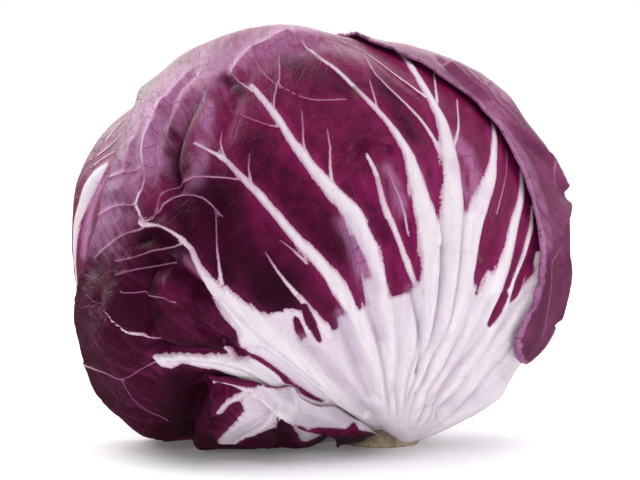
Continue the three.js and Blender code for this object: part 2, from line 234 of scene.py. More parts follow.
# %% The flat leaves
COMMON_LEFT = [(-9, -69), (-24, -57), (-50, -36), (-64, -4), (-60, 36), (-36, 68)]
COMMON_RIGHT = [(-x, y) for x, y in COMMON_LEFT]
COMMON_MIDRIB = [(0, -67.4), (0, -49), (0, -23), (1, 10), (0, 48), (0, 84)]
LEAVES = {
    "leaf_inner_back": dict(azimuth=150, curl=0.3),
    "leaf_left": dict(azimuth=-112, curl=0.5),
    "leaf_front": dict(
        azimuth=0,
        ragged=0.4,
        gap=1.2,
        reach=3.5,
        falloff=17,
        left=[(-9, -69), (-28, -57), (-48, -40), (-58.5, -26), (-68, -13)]
        + [(-67, 3), (-55.5, 19.5), (-46.5, 35), (-41, 50), (-42, 68)],
        midrib=[(0, -67.4), (6, -47), (19, -23), (31, 6), (36, 42), (24, 74)],
        right=[(9, -69), (34, -57), (58, -38), (66, -4), (66, 28), (56, 60)],
        curl=0.2,
    ),
    "leaf_back": dict(
        azimuth=-168,
        left=[(-9, -69), (-24, -57), (-52, -36), (-63, -6), (-58, 26), (-34, 53)],
        midrib=[(0, -67.4), (-4, -49), (-8, -23), (-8, 8), (-3, 38), (0, 64)],
        right=[(9, -69), (22, -57), (44, -36), (54, -6), (50, 30), (30, 58)],
        curl=1.0,
    ),
    "leaf_right": dict(
        azimuth=118,
        pale_rim=True,
        ragged=0.7,
        left=[(-8, -69), (-6, -58), (-9, -45), (-26.5, -34.5), (-37, -43.5), (-48.5, -38)]
        + [(-50.8, -26), (-53, -8), (-51.3, 12), (-46, 33), (-34.5, 53), (-21, 62)],
        midrib=[(0, -67.4), (2, -42), (4, -16), (4, 11), (3, 38), (6, 61)],
        right=[(9, -69), (25, -56), (52, -36), (63, -4), (58, 30), (34, 56)],
        curl=0.5,
    ),
    "leaf_stub": dict(
        azimuth=-28,
        gap=0.3,
        taper=1.1,
        left=[(-7, -68.6), (-1, -61), (3, -54), (-0.3, -46.2)]
        + [(-1.7, -38.5), (-10.5, -47), (-15, -41.7), (-19.1, -37.3)],
        midrib=[(0, -67.4), (6, -60.3), (8, -52), (4.5, -42)]
        + [(1.7, -33), (-4, -35), (-8.5, -31.8), (-13.8, -27.8)],
        right=[(7, -68.6), (12.5, -59.5), (12.9, -49.8), (8.5, -37.5)]
        + [(4.7, -27.5), (2.2, -24.1), (-1.9, -22.3), (-8.5, -18.7)],
        curl=0.8,
    ),
}
LEAF_ORDER = list(LEAVES)  # innermost first
OUTLINE_STEPS = 14
FLAT_RADIUS = 55.0
CENTRE_ANGLE = np.radians(88)
FRONT_WAY = unit(np.array([0, -1.0, 0]) - STEM_WAY * (np.array([0, -1.0, 0]) @ STEM_WAY))
RIGHT_WAY = np.cross(FRONT_WAY, STEM_WAY)


def smooth_line(points, shares):
    """A uniform Catmull-Rom curve through points, read at shares from 0 to 1 of its spans."""
    points = np.asarray(points, float)
    last = len(points) - 1
    place = np.clip(np.asarray(shares, float), 0, 1) * last
    span = np.minimum(place.astype(int), last - 1)
    t = (place - span)[:, None]
    before = points[np.maximum(span - 1, 0)]
    here = points[span]
    after = points[span + 1]
    beyond = points[np.minimum(span + 2, last)]
    leave = (after - before) * 0.5
    arrive = (beyond - here) * 0.5
    return (
        here
        + leave * t
        + (3 * (after - here) - 2 * leave - arrive) * t**2
        + (2 * (here - after) + leave + arrive) * t**3
    )


def flat_points(leaf, u, v):
    """A leaf's flat points at u, -1 on the left margin to 1 on the right, and v, 0 at the foot
    to 1 at the tip: the parabola in u through its three lines."""
    left = smooth_line(leaf["left"], v)
    middle = smooth_line(leaf["midrib"], v)
    right = smooth_line(leaf["right"], v)
    u = u[:, None]
    return left * (u * u - u) / 2 + middle * (1 - u * u) + right * (u * u + u) / 2


def wrap(leaf, flat):
    """The way out from the head's middle: a flat distance s from the centre becomes the angle
    whose half has the sine s over twice the ball's radius."""
    distance = np.linalg.norm(flat, axis=1)
    angle = 2 * np.arcsin(np.minimum(distance / (2 * FLAT_RADIUS), 1))
    along = np.sin(angle) / np.maximum(distance, 1e-9)
    sideways = leaf["across"] * flat[:, :1] + leaf["up"] * flat[:, 1:]
    return leaf["outward"] * np.cos(angle)[:, None] + sideways * along[:, None]


def unwrap(leaf, ways):
    """The inverse of wrap: flat points of directions."""
    angle = np.arccos(np.clip(ways @ leaf["outward"], -1, 1))
    scale = 2 * FLAT_RADIUS * np.sin(angle / 2) / np.maximum(np.sin(angle), 1e-6)
    return np.column_stack([ways @ leaf["across"], ways @ leaf["up"]]) * scale[:, None]


def outline_of(leaf):
    """The leaf's margin as straight pieces: up the left side, across the tip, down the right."""
    steps = np.linspace(0, 1, OUTLINE_STEPS + 1)
    across_tip = np.linspace(-1, 1, OUTLINE_STEPS + 1)[1:-1]
    up_left = flat_points(leaf, -np.ones(len(steps)), steps)
    tip = flat_points(leaf, across_tip, np.ones(len(across_tip)))
    down_right = flat_points(leaf, np.ones(len(steps)), steps[::-1])
    foot = flat_points(leaf, np.zeros(1), np.zeros(1))
    return np.vstack([up_left, tip, down_right, foot])


def place_leaf(leaf):
    """Turns a flat leaf's centre and its two flat directions to the leaf's azimuth."""
    turn = np.radians(leaf["azimuth"])
    away = FRONT_WAY * np.cos(turn) + RIGHT_WAY * np.sin(turn)
    leaf["outward"] = STEM_WAY * np.cos(CENTRE_ANGLE) + away * np.sin(CENTRE_ANGLE)
    leaf["up"] = -STEM_WAY * np.sin(CENTRE_ANGLE) + away * np.cos(CENTRE_ANGLE)
    leaf["across"] = np.cross(leaf["up"], leaf["outward"])
    leaf["outline"] = outline_of(leaf)


for name, leaf in LEAVES.items():
    leaf["name"] = name
    leaf["order"] = LEAF_ORDER.index(name)
    leaf.setdefault("left", COMMON_LEFT)
    leaf.setdefault("midrib", COMMON_MIDRIB)
    leaf.setdefault("right", COMMON_RIGHT)
    place_leaf(leaf)
print(len(LEAVES), "flat leaves, innermost first:", LEAF_ORDER)

# %% [markdown]
# ## How the leaves lie on each other
#
# Where a leaf covers another, the lower one lies one step deeper: the upper leaf's thickness,
# the height of the ribs and a little air. The step fades out past the upper leaf's margin, so
# the lower leaf comes up to the outside in the open, as real leaves do.

# %% Layers
BLADE = 0.7  # mm, the thickness of a leaf's blade
FOOT_EXTRA = 0.8  # and what is added to it at the foot
FOOT_SPREAD = 30  # degrees off the stem's axis over which that fades
RIB_ROOM = 0.4  # mm kept free for ribs, far from the foot
RIB_ROOM_EXTRA = 0.5  # and what is added to it at the foot
RIB_SPREAD = 45
GAP = 0.5  # mm of air under a leaf
LEAF_START_ANGLE = 12.2  # degrees off the stem's axis at which leaves begin
OPEN_ANGLE = 60  # degrees off it at which a leaf's cover is as wide as it gets


def distance_inside(outline, points):
    """Distance from flat points to a closed outline, more than 0 inside it and less outside: the
    least distance to any side, with inside told by how many sides a line to the right crosses."""
    inside = np.zeros(len(points), bool)
    nearest = np.full(len(points), np.inf)
    for a, b in zip(np.roll(outline, 1, axis=0), outline):
        side = b - a
        if a[1] != b[1]:
            between = (a[1] > points[:, 1]) != (b[1] > points[:, 1])
            crossing = a[0] + (points[:, 1] - a[1]) / (b[1] - a[1]) * side[0]
            inside ^= between & (points[:, 0] < crossing)
        share = np.clip((points - a) @ side / (side @ side), 0, 1)
        nearest = np.minimum(nearest, np.linalg.norm(points - a - share[:, None] * side, axis=1))
    return np.where(inside, nearest, -nearest)


def thickness(ways):
    """A leaf's thickness: its blade, and more towards the foot."""
    return BLADE + FOOT_EXTRA * fade(degrees_from(ways, STEM_WAY), FOOT_SPREAD)


def rib_room(ways):
    """The height kept free for ribs, which falls off from the foot."""
    return RIB_ROOM + RIB_ROOM_EXTRA * fade(degrees_from(ways, STEM_WAY), RIB_SPREAD)


def cover(leaf, ways):
    """1 where a leaf lies and a little way round it, falling smoothly to 0 beyond."""
    open_head = smoothstep(degrees_from(ways, STEM_WAY), LEAF_START_ANGLE, OPEN_ANGLE)
    reach = 1.5 + leaf.get("reach", 1.5) * open_head
    falloff = 6 + leaf.get("falloff", 8) * open_head
    outside = np.maximum(-distance_inside(leaf["outline"], unwrap(leaf, ways)), 0)
    return 1 - smoothstep(outside, reach, reach + falloff)


def room_for(leaf, ways):
    """Room for one leaf: its thickness, its ribs and the gap under it."""
    return thickness(ways) + rib_room(ways) + leaf.get("gap", GAP)


def depth_under(first_above, ways):
    """How deep the leaves from first_above outwards press what lies under them, and the share
    of each direction that none of them covers."""
    depth = np.zeros(len(ways))
    bare = np.ones(len(ways))
    for name in LEAF_ORDER[first_above:]:
        covered = cover(LEAVES[name], ways)
        depth += covered * room_for(LEAVES[name], ways)
        bare *= 1 - covered
    return depth, bare


print("one leaf takes %.1f mm at the foot" % room_for({}, STEM_WAY[None])[0])

# %% [markdown]
# ## Lines drawn on a leaf
#
# Ribs, veins and folds are all lines with a width that changes along them. They could be
# separate tubes, but a real rib is a swelling of the leaf itself. So each line only tells
# every point of the leaf how far away it is and what it is worth there, and the leaf's own
# surface and colour answer to that.

# %% Nearest place on a line


def near_line(flat, points, worth, reach):
    """For flat points within reach of a smooth line: the distance to its nearest piece, the side
    (1 left, -1 right of its run), and the line's worth there, blended along the piece."""
    shares = np.linspace(0, 1, 5 * (len(points) - 1) + 1)
    line = smooth_line(points, shares)
    worth = np.interp(shares, np.linspace(0, 1, len(worth)), worth)
    distance = np.full(len(flat), np.inf)
    side = np.zeros(len(flat))
    value = np.zeros(len(flat))
    low = line.min(axis=0) - reach
    high = line.max(axis=0) + reach
    near = np.flatnonzero(((flat > low) & (flat < high)).all(axis=1))
    here = flat[near]
    best = np.full(len(near), np.inf)
    best_side = np.zeros(len(near))
    best_value = np.zeros(len(near))
    for a, b, worth_a, worth_b in zip(line, line[1:], worth, worth[1:]):
        run = b - a
        share = np.clip((here - a) @ run / max(run @ run, 1e-12), 0, 1)
        off = here - a - share[:, None] * run
        away = np.hypot(off[:, 0], off[:, 1])
        nearer = away < best
        best = np.where(nearer, away, best)
        best_value = np.where(nearer, worth_a + share * (worth_b - worth_a), best_value)
        best_side = np.where(nearer, np.sign(run[0] * off[:, 1] - run[1] * off[:, 0]), best_side)
    distance[near] = best
    side[near] = best_side
    value[near] = best_value
    return distance, side, value


def soft_max(a, b, blend):
    """The larger of two values, rounded where they are close: blend times the logarithm of the
    sum of e to each value over blend."""
    high = np.maximum(a, b)
    return high + blend * np.log1p(np.exp(-np.abs(a - b) / blend))


passing = near_line(np.array([[3.0, 4]]), [(0, 0), (0, 9)], [1, 1], 9)[0]
print("a line through (0,0) and (0,9) passes", passing, "mm from (3,4)")

# %% [markdown]
# ## Folds of the whole head
#
# Under its skin of leaves a head is tightly packed, and a dent or a fold in the outer leaf goes
# on into the ones below. Carving each leaf on its own would push one through the next. So the
# folds change the radius of the whole head, and every leaf follows them. They are lines on the
# flat front leaf: a valley sinks in, a ridge stands up, and a lip stands up on one side and
# drops off at the line.

# %% Folds, by where they are seen
# Each fold: its kind, its height or depth in mm, its half width in mm, and its line.
FRONT_FOLDS = {
    "upper_left_fall": ("valley", 1.4, 10.0, [(84, 215), (92, 180), (112, 135), (150, 85)]
        + [(200, 50), (250, 36)]),
    "left_trough": ("valley", 2.1, 1.6, [(201, 104), (190, 124), (181, 145), (177, 168), (181, 190)]),
    "middle_trough": ("valley", 1.2, 3.0, [(236, 100), (225, 130), (212, 150), (214, 190), (226, 228)]),
    "left_crest": ("ridge", 1.0, 1.5, [(160, 100), (146, 132), (142, 160), (140, 200), (147, 226)]),
    "streak_1": ("ridge", 0.6, 0.9, [(178, 108), (167, 140), (160, 175), (163, 205)]),
    "streak_2": ("valley", 0.6, 0.9, [(170, 112), (157, 145), (152, 182)]),
    "streak_3": ("ridge", 0.5, 0.9, [(131, 140), (124, 170), (125, 205)]),
    "streak_4": ("valley", 0.5, 0.8, [(196, 74), (180, 92), (166, 118)]),
    "streak_5": ("ridge", 0.5, 0.8, [(190, 68), (172, 88), (158, 112)]),
    "hazy_crest": ("ridge", 0.5, 2.6, [(205, 118), (197, 146), (196, 180), (202, 208)]),
    "top_crease": ("ridge", 1.1, 1.5, [(232, 72), (245, 52), (260, 41), (288, 33)]),
    "top_trough": ("valley", 0.8, 2.6, [(262, 66), (285, 55), (312, 48)]),
    "rib_tip_dip": ("valley", 1.3, 1.8, [(222, 96), (234, 84), (246, 80)]),
    "knot": ("ridge", 1.5, 1.3, [(140, 220), (148, 227), (160, 226), (172, 231), (184, 243)]),
    "knot_hollow": ("valley", 2.2, 2.0, [(146, 238), (158, 236), (170, 243), (180, 256)]),
    "curled_lip": ("lip", 2.6, 7.0, [(74, 292), (84, 300), (97, 308), (109, 313), (115, 325)]
        + [(121, 335), (134, 340), (156, 342)]),
    "lip_hollow": ("valley", 1.4, 1.6, [(110, 300), (120, 312), (128, 322), (146, 328)]),
    "left_hollow": ("valley", 3.4, 2.2, [(158, 262), (152, 282), (151, 300), (157, 318)]),
    "middle_fold": ("ridge", 2.0, 1.5, [(163, 270), (166, 292), (176, 303), (196, 312)]
        + [(220, 330), (240, 346)]),
    "long_hollow": ("valley", 3.4, 2.2, [(172, 262), (190, 277), (207, 290), (222, 304), (238, 326)]),
    "long_crease": ("valley", 2.4, 1.0, [(206, 322), (226, 336), (248, 352), (270, 367), (296, 385)]),
    "wine_hollow": ("valley", 2.4, 1.6, [(163, 344), (185, 346), (212, 347), (230, 350)]),
    "rib_d_crest": ("ridge", 1.4, 1.9, [(158, 357), (176, 355), (200, 357), (226, 360)]
        + [(250, 368), (280, 386)]),
    "under_rib_hollow": ("valley", 2.6, 1.5, [(206, 374), (235, 378), (258, 384), (285, 400)]),
    "lower_fold": ("valley", 3.0, 2.0, [(204, 384), (197, 402), (191, 420), (190, 440)]),
    "lower_bulge": ("ridge", 1.4, 5.5, [(120, 300), (105, 330), (110, 370), (140, 410)]),
    "lower_valley": ("valley", 1.4, 3.0, [(162, 352), (150, 374), (156, 400), (170, 432)]),
    "lower_crest": ("ridge", 1.2, 2.2, [(172, 372), (176, 396), (182, 424)]),
    "dent_left": ("valley", 1.0, 3.2, [(95, 268), (104, 274), (112, 286)]),
    "scar": ("valley", 1.1, 0.9, [(352, 160), (362, 148), (374, 147), (389, 152)]),
    "scar_lip": ("ridge", 0.8, 1.2, [(346, 150), (352, 140), (366, 138), (384, 144)]),
    "base_groove_1": ("valley", 1.7, 1.5, [(340, 312), (350, 340), (360, 366), (372, 392)]),
    "base_groove_2": ("valley", 1.6, 1.5, [(366, 280), (374, 312), (382, 348), (390, 388)]),
    "base_groove_3": ("valley", 1.9, 0.8, [(409, 288), (414, 312), (417, 340), (413, 366)]),
    "base_groove_4": ("valley", 1.5, 1.6, [(440, 250), (436, 300), (430, 345), (418, 385)]),
    "base_groove_5": ("valley", 1.8, 1.4, [(482, 300), (466, 336), (446, 366), (424, 396)]),
    "base_groove_6": ("valley", 1.6, 1.6, [(508, 305), (488, 340), (462, 372), (432, 402)]),
    "base_groove_7": ("valley", 1.8, 1.3, [(264, 346), (292, 368), (322, 392), (352, 414)]),
    "base_groove_8": ("valley", 1.5, 1.5, [(304, 336), (326, 360), (346, 384), (366, 408)]),
    "rib_c_line": ("valley", 0.45, 0.45, [(196, 262), (214, 286), (238, 310), (262, 334)]
        + [(290, 358), (320, 384)]),
    "rib_d_line": ("valley", 0.5, 0.5, [(170, 360), (200, 361), (230, 366), (254, 374)]
        + [(284, 394), (318, 412)]),
    "stub_bulge": ("ridge", 1.2, 4.0, [(228, 424), (244, 414), (262, 420)]),
    "stub_roll": ("ridge", 1.5, 1.3, [(216, 410), (228, 398), (244, 391), (260, 393)]
        + [(279, 402), (300, 414)]),
    "stub_line": ("valley", 0.7, 0.7, [(240, 431), (254, 421), (268, 411), (276, 404)]),
}
RIGHT_FOLDS = {
    "right_ridge": ("ridge", 2.3, 1.0, [(455, 57), (492, 92), (520, 120), (550, 155), (565, 187)]),
    "top_out": ("ridge", 0.9, 6.0, [(290, 30), (320, 28), (350, 32)]),
    "right_out": ("ridge", 1.1, 8.0, [(555, 150), (564, 200), (566, 250), (562, 300), (548, 342)]),
    "right_ridge_low": ("ridge", 1.2, 1.3, [(566, 205), (560, 235), (566, 270), (560, 318)]),
    "right_trough": ("valley", 1.4, 2.4, [(440, 66), (478, 98), (508, 130), (534, 170), (548, 215)]),
    "right_fold_low": ("ridge", 0.9, 1.6, [(548, 232), (545, 270), (540, 306), (530, 340)]),
}
LIP_TAPER = [0.1, 1, 1, 0.6]  # shares of the lip's height along it
PACKING = [(0.8, 26, 5), (0.35, 12, 6)]  # the unevenness: height and size in mm, and seed
BALL = 60  # mm, the radius on which that noise is read
RELIEF_ROOM = 0.9  # mm that the sheets start lower, so that ribs and lifted margins have room
LOWERINGS = 6  # times that a line's place is found again on the lowered form
FRONT, RIGHT = LEAVES["leaf_front"], LEAVES["leaf_right"]
placed_folds = []  # kind, height, half width and line on the flat front leaf, once they are placed


def fold_heights(ways):
    """The sum of all folds. A valley or ridge is its height times a bell curve of the distance
    to its line; a lip rises in a millimetre on its left side and sinks away behind over its
    width, and is lower at its ends. Broad noise adds the unevenness of packed leaves."""
    flat = unwrap(FRONT, ways)
    total = sum(height * noise(ways * BALL, size, seed) for height, size, seed in PACKING)
    for kind, height, half_width, line in placed_folds:
        distance, side, share = near_line(flat, line, LIP_TAPER, 4 * half_width)
        if kind == "lip":
            behind = np.where(np.isfinite(distance), side * distance, 0)
            rise = share * smoothstep(behind, -0.5, 0.5) * np.exp(-np.maximum(behind, 0) / half_width)
            bell = np.where(np.isfinite(distance), rise, 0)
        else:
            bell = np.exp(-((distance / half_width) ** 2))
        total += -height * bell if kind == "valley" else height * bell
    return total


def head_radius(ways):
    """The plain form's radius, less the room for relief above the underside, and the folds, which
    fade out at the foot."""
    folds = fold_heights(ways) * smoothstep(degrees_from(ways, STEM_WAY), 12, 30)
    return plain_radius(ways) + folds - RELIEF_ROOM * smoothstep(ways[:, 2], -0.9, -0.6)


def drawn_on(leaf, lines, onto=None, rises=None):
    """Flat lines of a leaf where lines of picture points are seen on it. They are found on the
    plain form first, then some times more on one that is lower by what the leaves above press
    down there and higher by the folds, or by a rise of each line's own, each time half way."""
    counts = [len(line) for line in lines]
    points = np.vstack([np.asarray(line, float)[:, :2] for line in lines])
    rise = 0.0 if rises is None else np.repeat(rises, counts)
    ways = ways_through(points)
    lower = np.full(len(points), RELIEF_ROOM)
    for _ in range(LOWERINGS):
        pressed, _ = depth_under(leaf["order"] + 1, ways)
        lower = (lower + pressed + plain_radius(ways) - head_radius(ways) - rise) / 2
        ways = ways_through(points, lower)
    return np.split(unwrap(onto or leaf, ways), np.cumsum(counts)[:-1])


# All lines are found before any fold is placed, so that no fold moves another's line.
found = []
for leaf, folds in ((FRONT, FRONT_FOLDS), (RIGHT, RIGHT_FOLDS)):
    rises = [-height if kind == "valley" else height for kind, height, _, _ in folds.values()]
    lines = drawn_on(leaf, [line for _, _, _, line in folds.values()], FRONT, rises)
    found += [(*fold[:3], line) for fold, line in zip(folds.values(), lines)]
placed_folds += found
print(len(placed_folds), "folds")

# %% [markdown]
# ## The front leaf's ribs
#
# On the front leaf the ribs are what one sees first: a fan of white ribs that widen and run
# together towards the foot, with wine-coloured wedges left between them. A fan could be grown by
# rule, but this leaf is the head's face, so its ribs are drawn one by one. Each point of a rib is
# a place in the camera's frame and the white's width there, in picture points.

# %% Ribs, veins and wedges of the front leaf
FRONT_RIBS = {
    "midrib": [(392, 49, 2.5), (410, 65, 4.5), (422, 85, 5.5), (431, 102, 6.5), (440, 122, 11)]
    + [(446, 147, 15), (450, 175, 19), (451, 210, 25), (452, 245, 30), (450, 285, 32)]
    + [(442, 332, 30), (424, 368, 26), (407, 400, 24), (396, 434, 20)],
    "rib_a": [(251, 86, 5), (265, 102, 6.5), (280, 122, 7.5), (292, 142, 8.5), (300, 152, 10)]
    + [(315, 172, 12), (335, 195, 15), (352, 214, 20), (364, 240, 24), (376, 290, 26)]
    + [(385, 335, 22), (388, 375, 20), (390, 434, 16)],
    "rib_b": [(196, 144, 2.5), (210, 151, 3), (225, 160, 5), (240, 175, 6), (255, 190, 8)]
    + [(270, 207, 9), (285, 225, 9), (300, 242, 11), (325, 268, 14), (350, 302, 20)]
    + [(368, 337, 20), (380, 375, 18), (388, 434, 14)],
    "rib_c": [(142, 225, 2), (160, 226, 2.5), (180, 237, 4), (190, 247, 5), (200, 267, 7)]
    + [(210, 280, 11), (221, 293, 18), (240, 313, 27), (263, 335, 36), (285, 355, 38)]
    + [(303, 371, 34), (325, 391, 30), (350, 412, 24), (378, 434, 18)],
    "rib_d": [(158, 356, 7), (163, 359, 13), (172, 360, 15), (184, 358, 11), (195, 359, 13)]
    + [(208, 361, 15), (222, 362, 18), (240, 367, 21)]
    + [(262, 374, 25), (283, 387, 28), (305, 402, 28), (342, 421, 22), (380, 436, 16)],
    "rib_e": [(302, 42, 1.4), (318, 58, 2.4), (334, 69, 3), (350, 84, 3.6), (367, 101, 4.6)]
    + [(387, 123, 6), (402, 145, 9), (410, 162, 12), (417, 190, 18), (424, 215, 22), (431, 245, 24)]
    + [(430, 290, 24), (420, 335, 22), (406, 385, 20), (394, 434, 14)],
    "rib_m": [(367, 156, 3), (376, 175, 5), (382, 200, 6), (390, 222, 8), (399, 245, 9)]
    + [(408, 268, 8), (414, 300, 10), (412, 340, 12), (402, 390, 12), (393, 434, 10)],
    "rib_j": [(492, 120, 2.5), (494, 150, 6), (490, 175, 12), (480, 200, 18), (470, 228, 22)]
    + [(463, 262, 24), (453, 310, 24), (438, 352, 22), (416, 397, 18), (398, 434, 14)],
    "rib_k": [(521, 165, 2), (521, 195, 6), (515, 220, 9), (509, 243, 11), (502, 266, 14)]
    + [(490, 294, 18), (468, 336, 20), (438, 380, 18), (402, 434, 14)],
    "rib_l": [(532, 207, 2), (531, 225, 4), (527, 245, 6), (521, 268, 9), (508, 300, 14)]
    + [(482, 342, 18), (450, 380, 18), (405, 434, 14)],
    "rib_r": [(538, 255, 8), (537, 280, 14), (524, 310, 18), (500, 345, 22), (462, 385, 22)]
    + [(408, 435, 14)],
    "rib_s": [(536, 310, 10), (525, 340, 20), (500, 375, 24), (460, 408, 20), (410, 437, 14)],
}
FRONT_VEINS = {
    "a_tip": [(232, 74, 1.4), (245, 86, 1.8), (253, 92, 2.4)],
    "a_branch": [(302, 112, 1.2), (303, 128, 1.5), (304, 145, 2.2), (309, 158, 3)],
    "a_branch_low": [(327, 130, 1.2), (330, 148, 2), (330, 165, 2.5), (332, 186, 4)],
    "a_top": [(279, 57, 1.3), (280, 77, 1.3), (275, 95, 1.5), (274, 108, 2)],
    "a_left": [(232, 112, 1.0), (248, 118, 1.2), (264, 124, 1.2), (281, 128, 1.8)],
    "b_branch": [(250, 155, 1.0), (249, 168, 1.6), (252, 184, 2.6)],
    "b_branch_top": [(222, 132, 1.0), (221, 144, 1.6), (226, 158, 2.2)],
    "b_side": [(246, 181, 1.8), (210, 177, 1.6), (186, 181, 1.4), (165, 192, 1.4), (152, 220, 1.6)],
    "b_side_low": [(222, 216, 1.4), (206, 200, 1.6), (190, 195, 1.4), (174, 198, 1.3), (160, 212, 1.3)],
    "c_branch": [(216, 213, 1.2), (217, 237, 1.5), (219, 262, 2.4), (222, 284, 4)],
    "b2": [(266, 253, 1.3), (277, 270, 2.6), (292, 289, 4), (306, 304, 7), (330, 335, 10)],
    "b3": [(281, 241, 1.2), (292, 249, 2), (306, 262, 3)],
    "e_branch": [(369, 80, 1.2), (373, 94, 1.6), (377, 108, 2)],
    "vein_f": [(342, 42, 0.7), (362, 50, 0.8), (382, 65, 1.0), (410, 86, 1.4), (430, 101, 2.4)],
    "vein_g": [(364, 54, 0.7), (372, 70, 1.0), (387, 87, 1.4), (407, 106, 2), (426, 128, 2.8)]
    + [(440, 153, 5)],
    "vein_h": [(434, 72, 1.3), (436, 90, 1.8), (436, 106, 3)],
    "vein_i": [(457, 100, 1.3), (458, 127, 2.2), (453, 146, 4)],
    "vein_m2": [(388, 172, 1.2), (396, 190, 1.8), (402, 206, 2.2), (408, 234, 3)],
    "vein_j2": [(507, 152, 0.7), (506, 175, 0.9), (500, 200, 1.3), (494, 222, 1.4)],
    "vein_n": [(157, 112, 1.6), (146, 132, 1.8), (142, 150, 1.8), (145, 170, 2), (142, 190, 2.2)]
    + [(137, 205, 2.6), (142, 217, 3), (148, 226, 3)],
    "vein_top_left": [(255, 60, 1.1), (268, 78, 1.2), (290, 92, 1.2), (312, 100, 1.2), (345, 100, 1.2)],
    "low_1": [(117, 261, 1.2), (135, 257, 1.3), (152, 251, 1.4), (182, 244, 2)],
    "low_2": [(117, 275, 1.1), (132, 270, 1.3), (150, 267, 1.3), (177, 262, 1.3)],
    "low_3": [(122, 292, 1.3), (140, 292, 1.3), (160, 297, 1.3), (175, 302, 1.6)],
    "low_4": [(84, 364, 0.9), (105, 372, 0.9), (122, 379, 1.0), (145, 367, 1.0), (157, 361, 1.6)],
    "low_5": [(122, 379, 0.9), (132, 396, 0.8), (148, 410, 0.8), (168, 420, 0.8)],
    "d_spur": [(224, 341, 3), (230, 350, 6), (238, 362, 8)],
    "left_1": [(100, 215, 1.1), (118, 206, 1.2), (136, 205, 1.6)],
    "left_2": [(96, 258, 1.1), (110, 245, 1.2), (126, 234, 1.2), (143, 226, 1.6)],
    "left_3": [(110, 178, 1.1), (124, 172, 1.1), (144, 168, 1.4)],
}
WEDGES = {
    "a_b": [(336, 236, 11), (345, 262, 12), (353, 286, 10), (360, 307, 4)],
    "lilac": [(350, 240, 9), (360, 258, 8), (367, 276, 4)],
    "a_m": [(384, 222, 7), (394, 250, 9), (402, 270, 7), (409, 288, 3)],
    "m_e": [(399, 222, 7), (405, 240, 6), (409, 256, 2.5)],
    "e_in": [(409, 225, 3.5), (415, 241, 2)],
    "a_in": [(371, 224, 6), (376, 239, 3)],
    "j_k": [(493, 222, 13), (490, 238, 8), (485, 255, 4), (476, 294, 2.4)],
    "k_in": [(504, 222, 6), (500, 240, 5), (495, 256, 2.5)],
    "k_l": [(523, 224, 7), (519, 245, 6), (514, 263, 3)],
    "l_r": [(534, 236, 5), (527, 262, 8), (518, 283, 9), (511, 299, 4)],
    "right_island": [(503, 296, 7), (496, 310, 8), (490, 322, 5)],
    "island_1": [(296, 320, 6), (299, 329, 9), (303, 337, 5)],
    "island_2": [(304, 306, 6), (311, 322, 10), (319, 340, 5)],
    "island_3": [(324, 296, 10), (329, 310, 12), (335, 326, 7)],
    "b_notch": [(250, 296, 9), (268, 305, 9), (280, 309, 5)],
    "groove_c_d": [(222, 343, 5), (255, 357, 4.5), (280, 374, 3.6), (300, 389, 3), (324, 401, 1.5)],
}
LIP_HALF = np.array([0.1, 0.12, 0.16, 0.26, 0.4, 0.42, 0.34, 0.2])  # mm, along the curled lip
LIP_CREST = 0.4  # mm from the lip's step to its pale edge
BASE_OUTLINE = [(236, 302), (252, 307), (268, 314), (281, 310), (292, 308), (304, 310), (318, 320)]
BASE_OUTLINE += [(328, 322), (342, 314), (356, 310), (382, 298), (409, 290), (428, 262), (455, 252)]
BASE_OUTLINE += [(478, 290), (488, 268), (510, 302), (532, 274), (546, 262), (560, 300), (540, 380)]
BASE_OUTLINE += [(470, 450), (380, 470), (300, 440), (262, 392), (240, 330)]
POINT_HALF = POINT_SIZE / 2  # half a width in picture points, as mm
WIDEST_SHARE = 2.5  # of its seen width, the most that a line may be across the turning leaf
VEIN_ON_RIGHT = 0.15  # mm, the most that a vein's half width is on the turning right leaf
print(len(FRONT_RIBS) + len(FRONT_VEINS), "ribs and veins to draw on the front leaf")

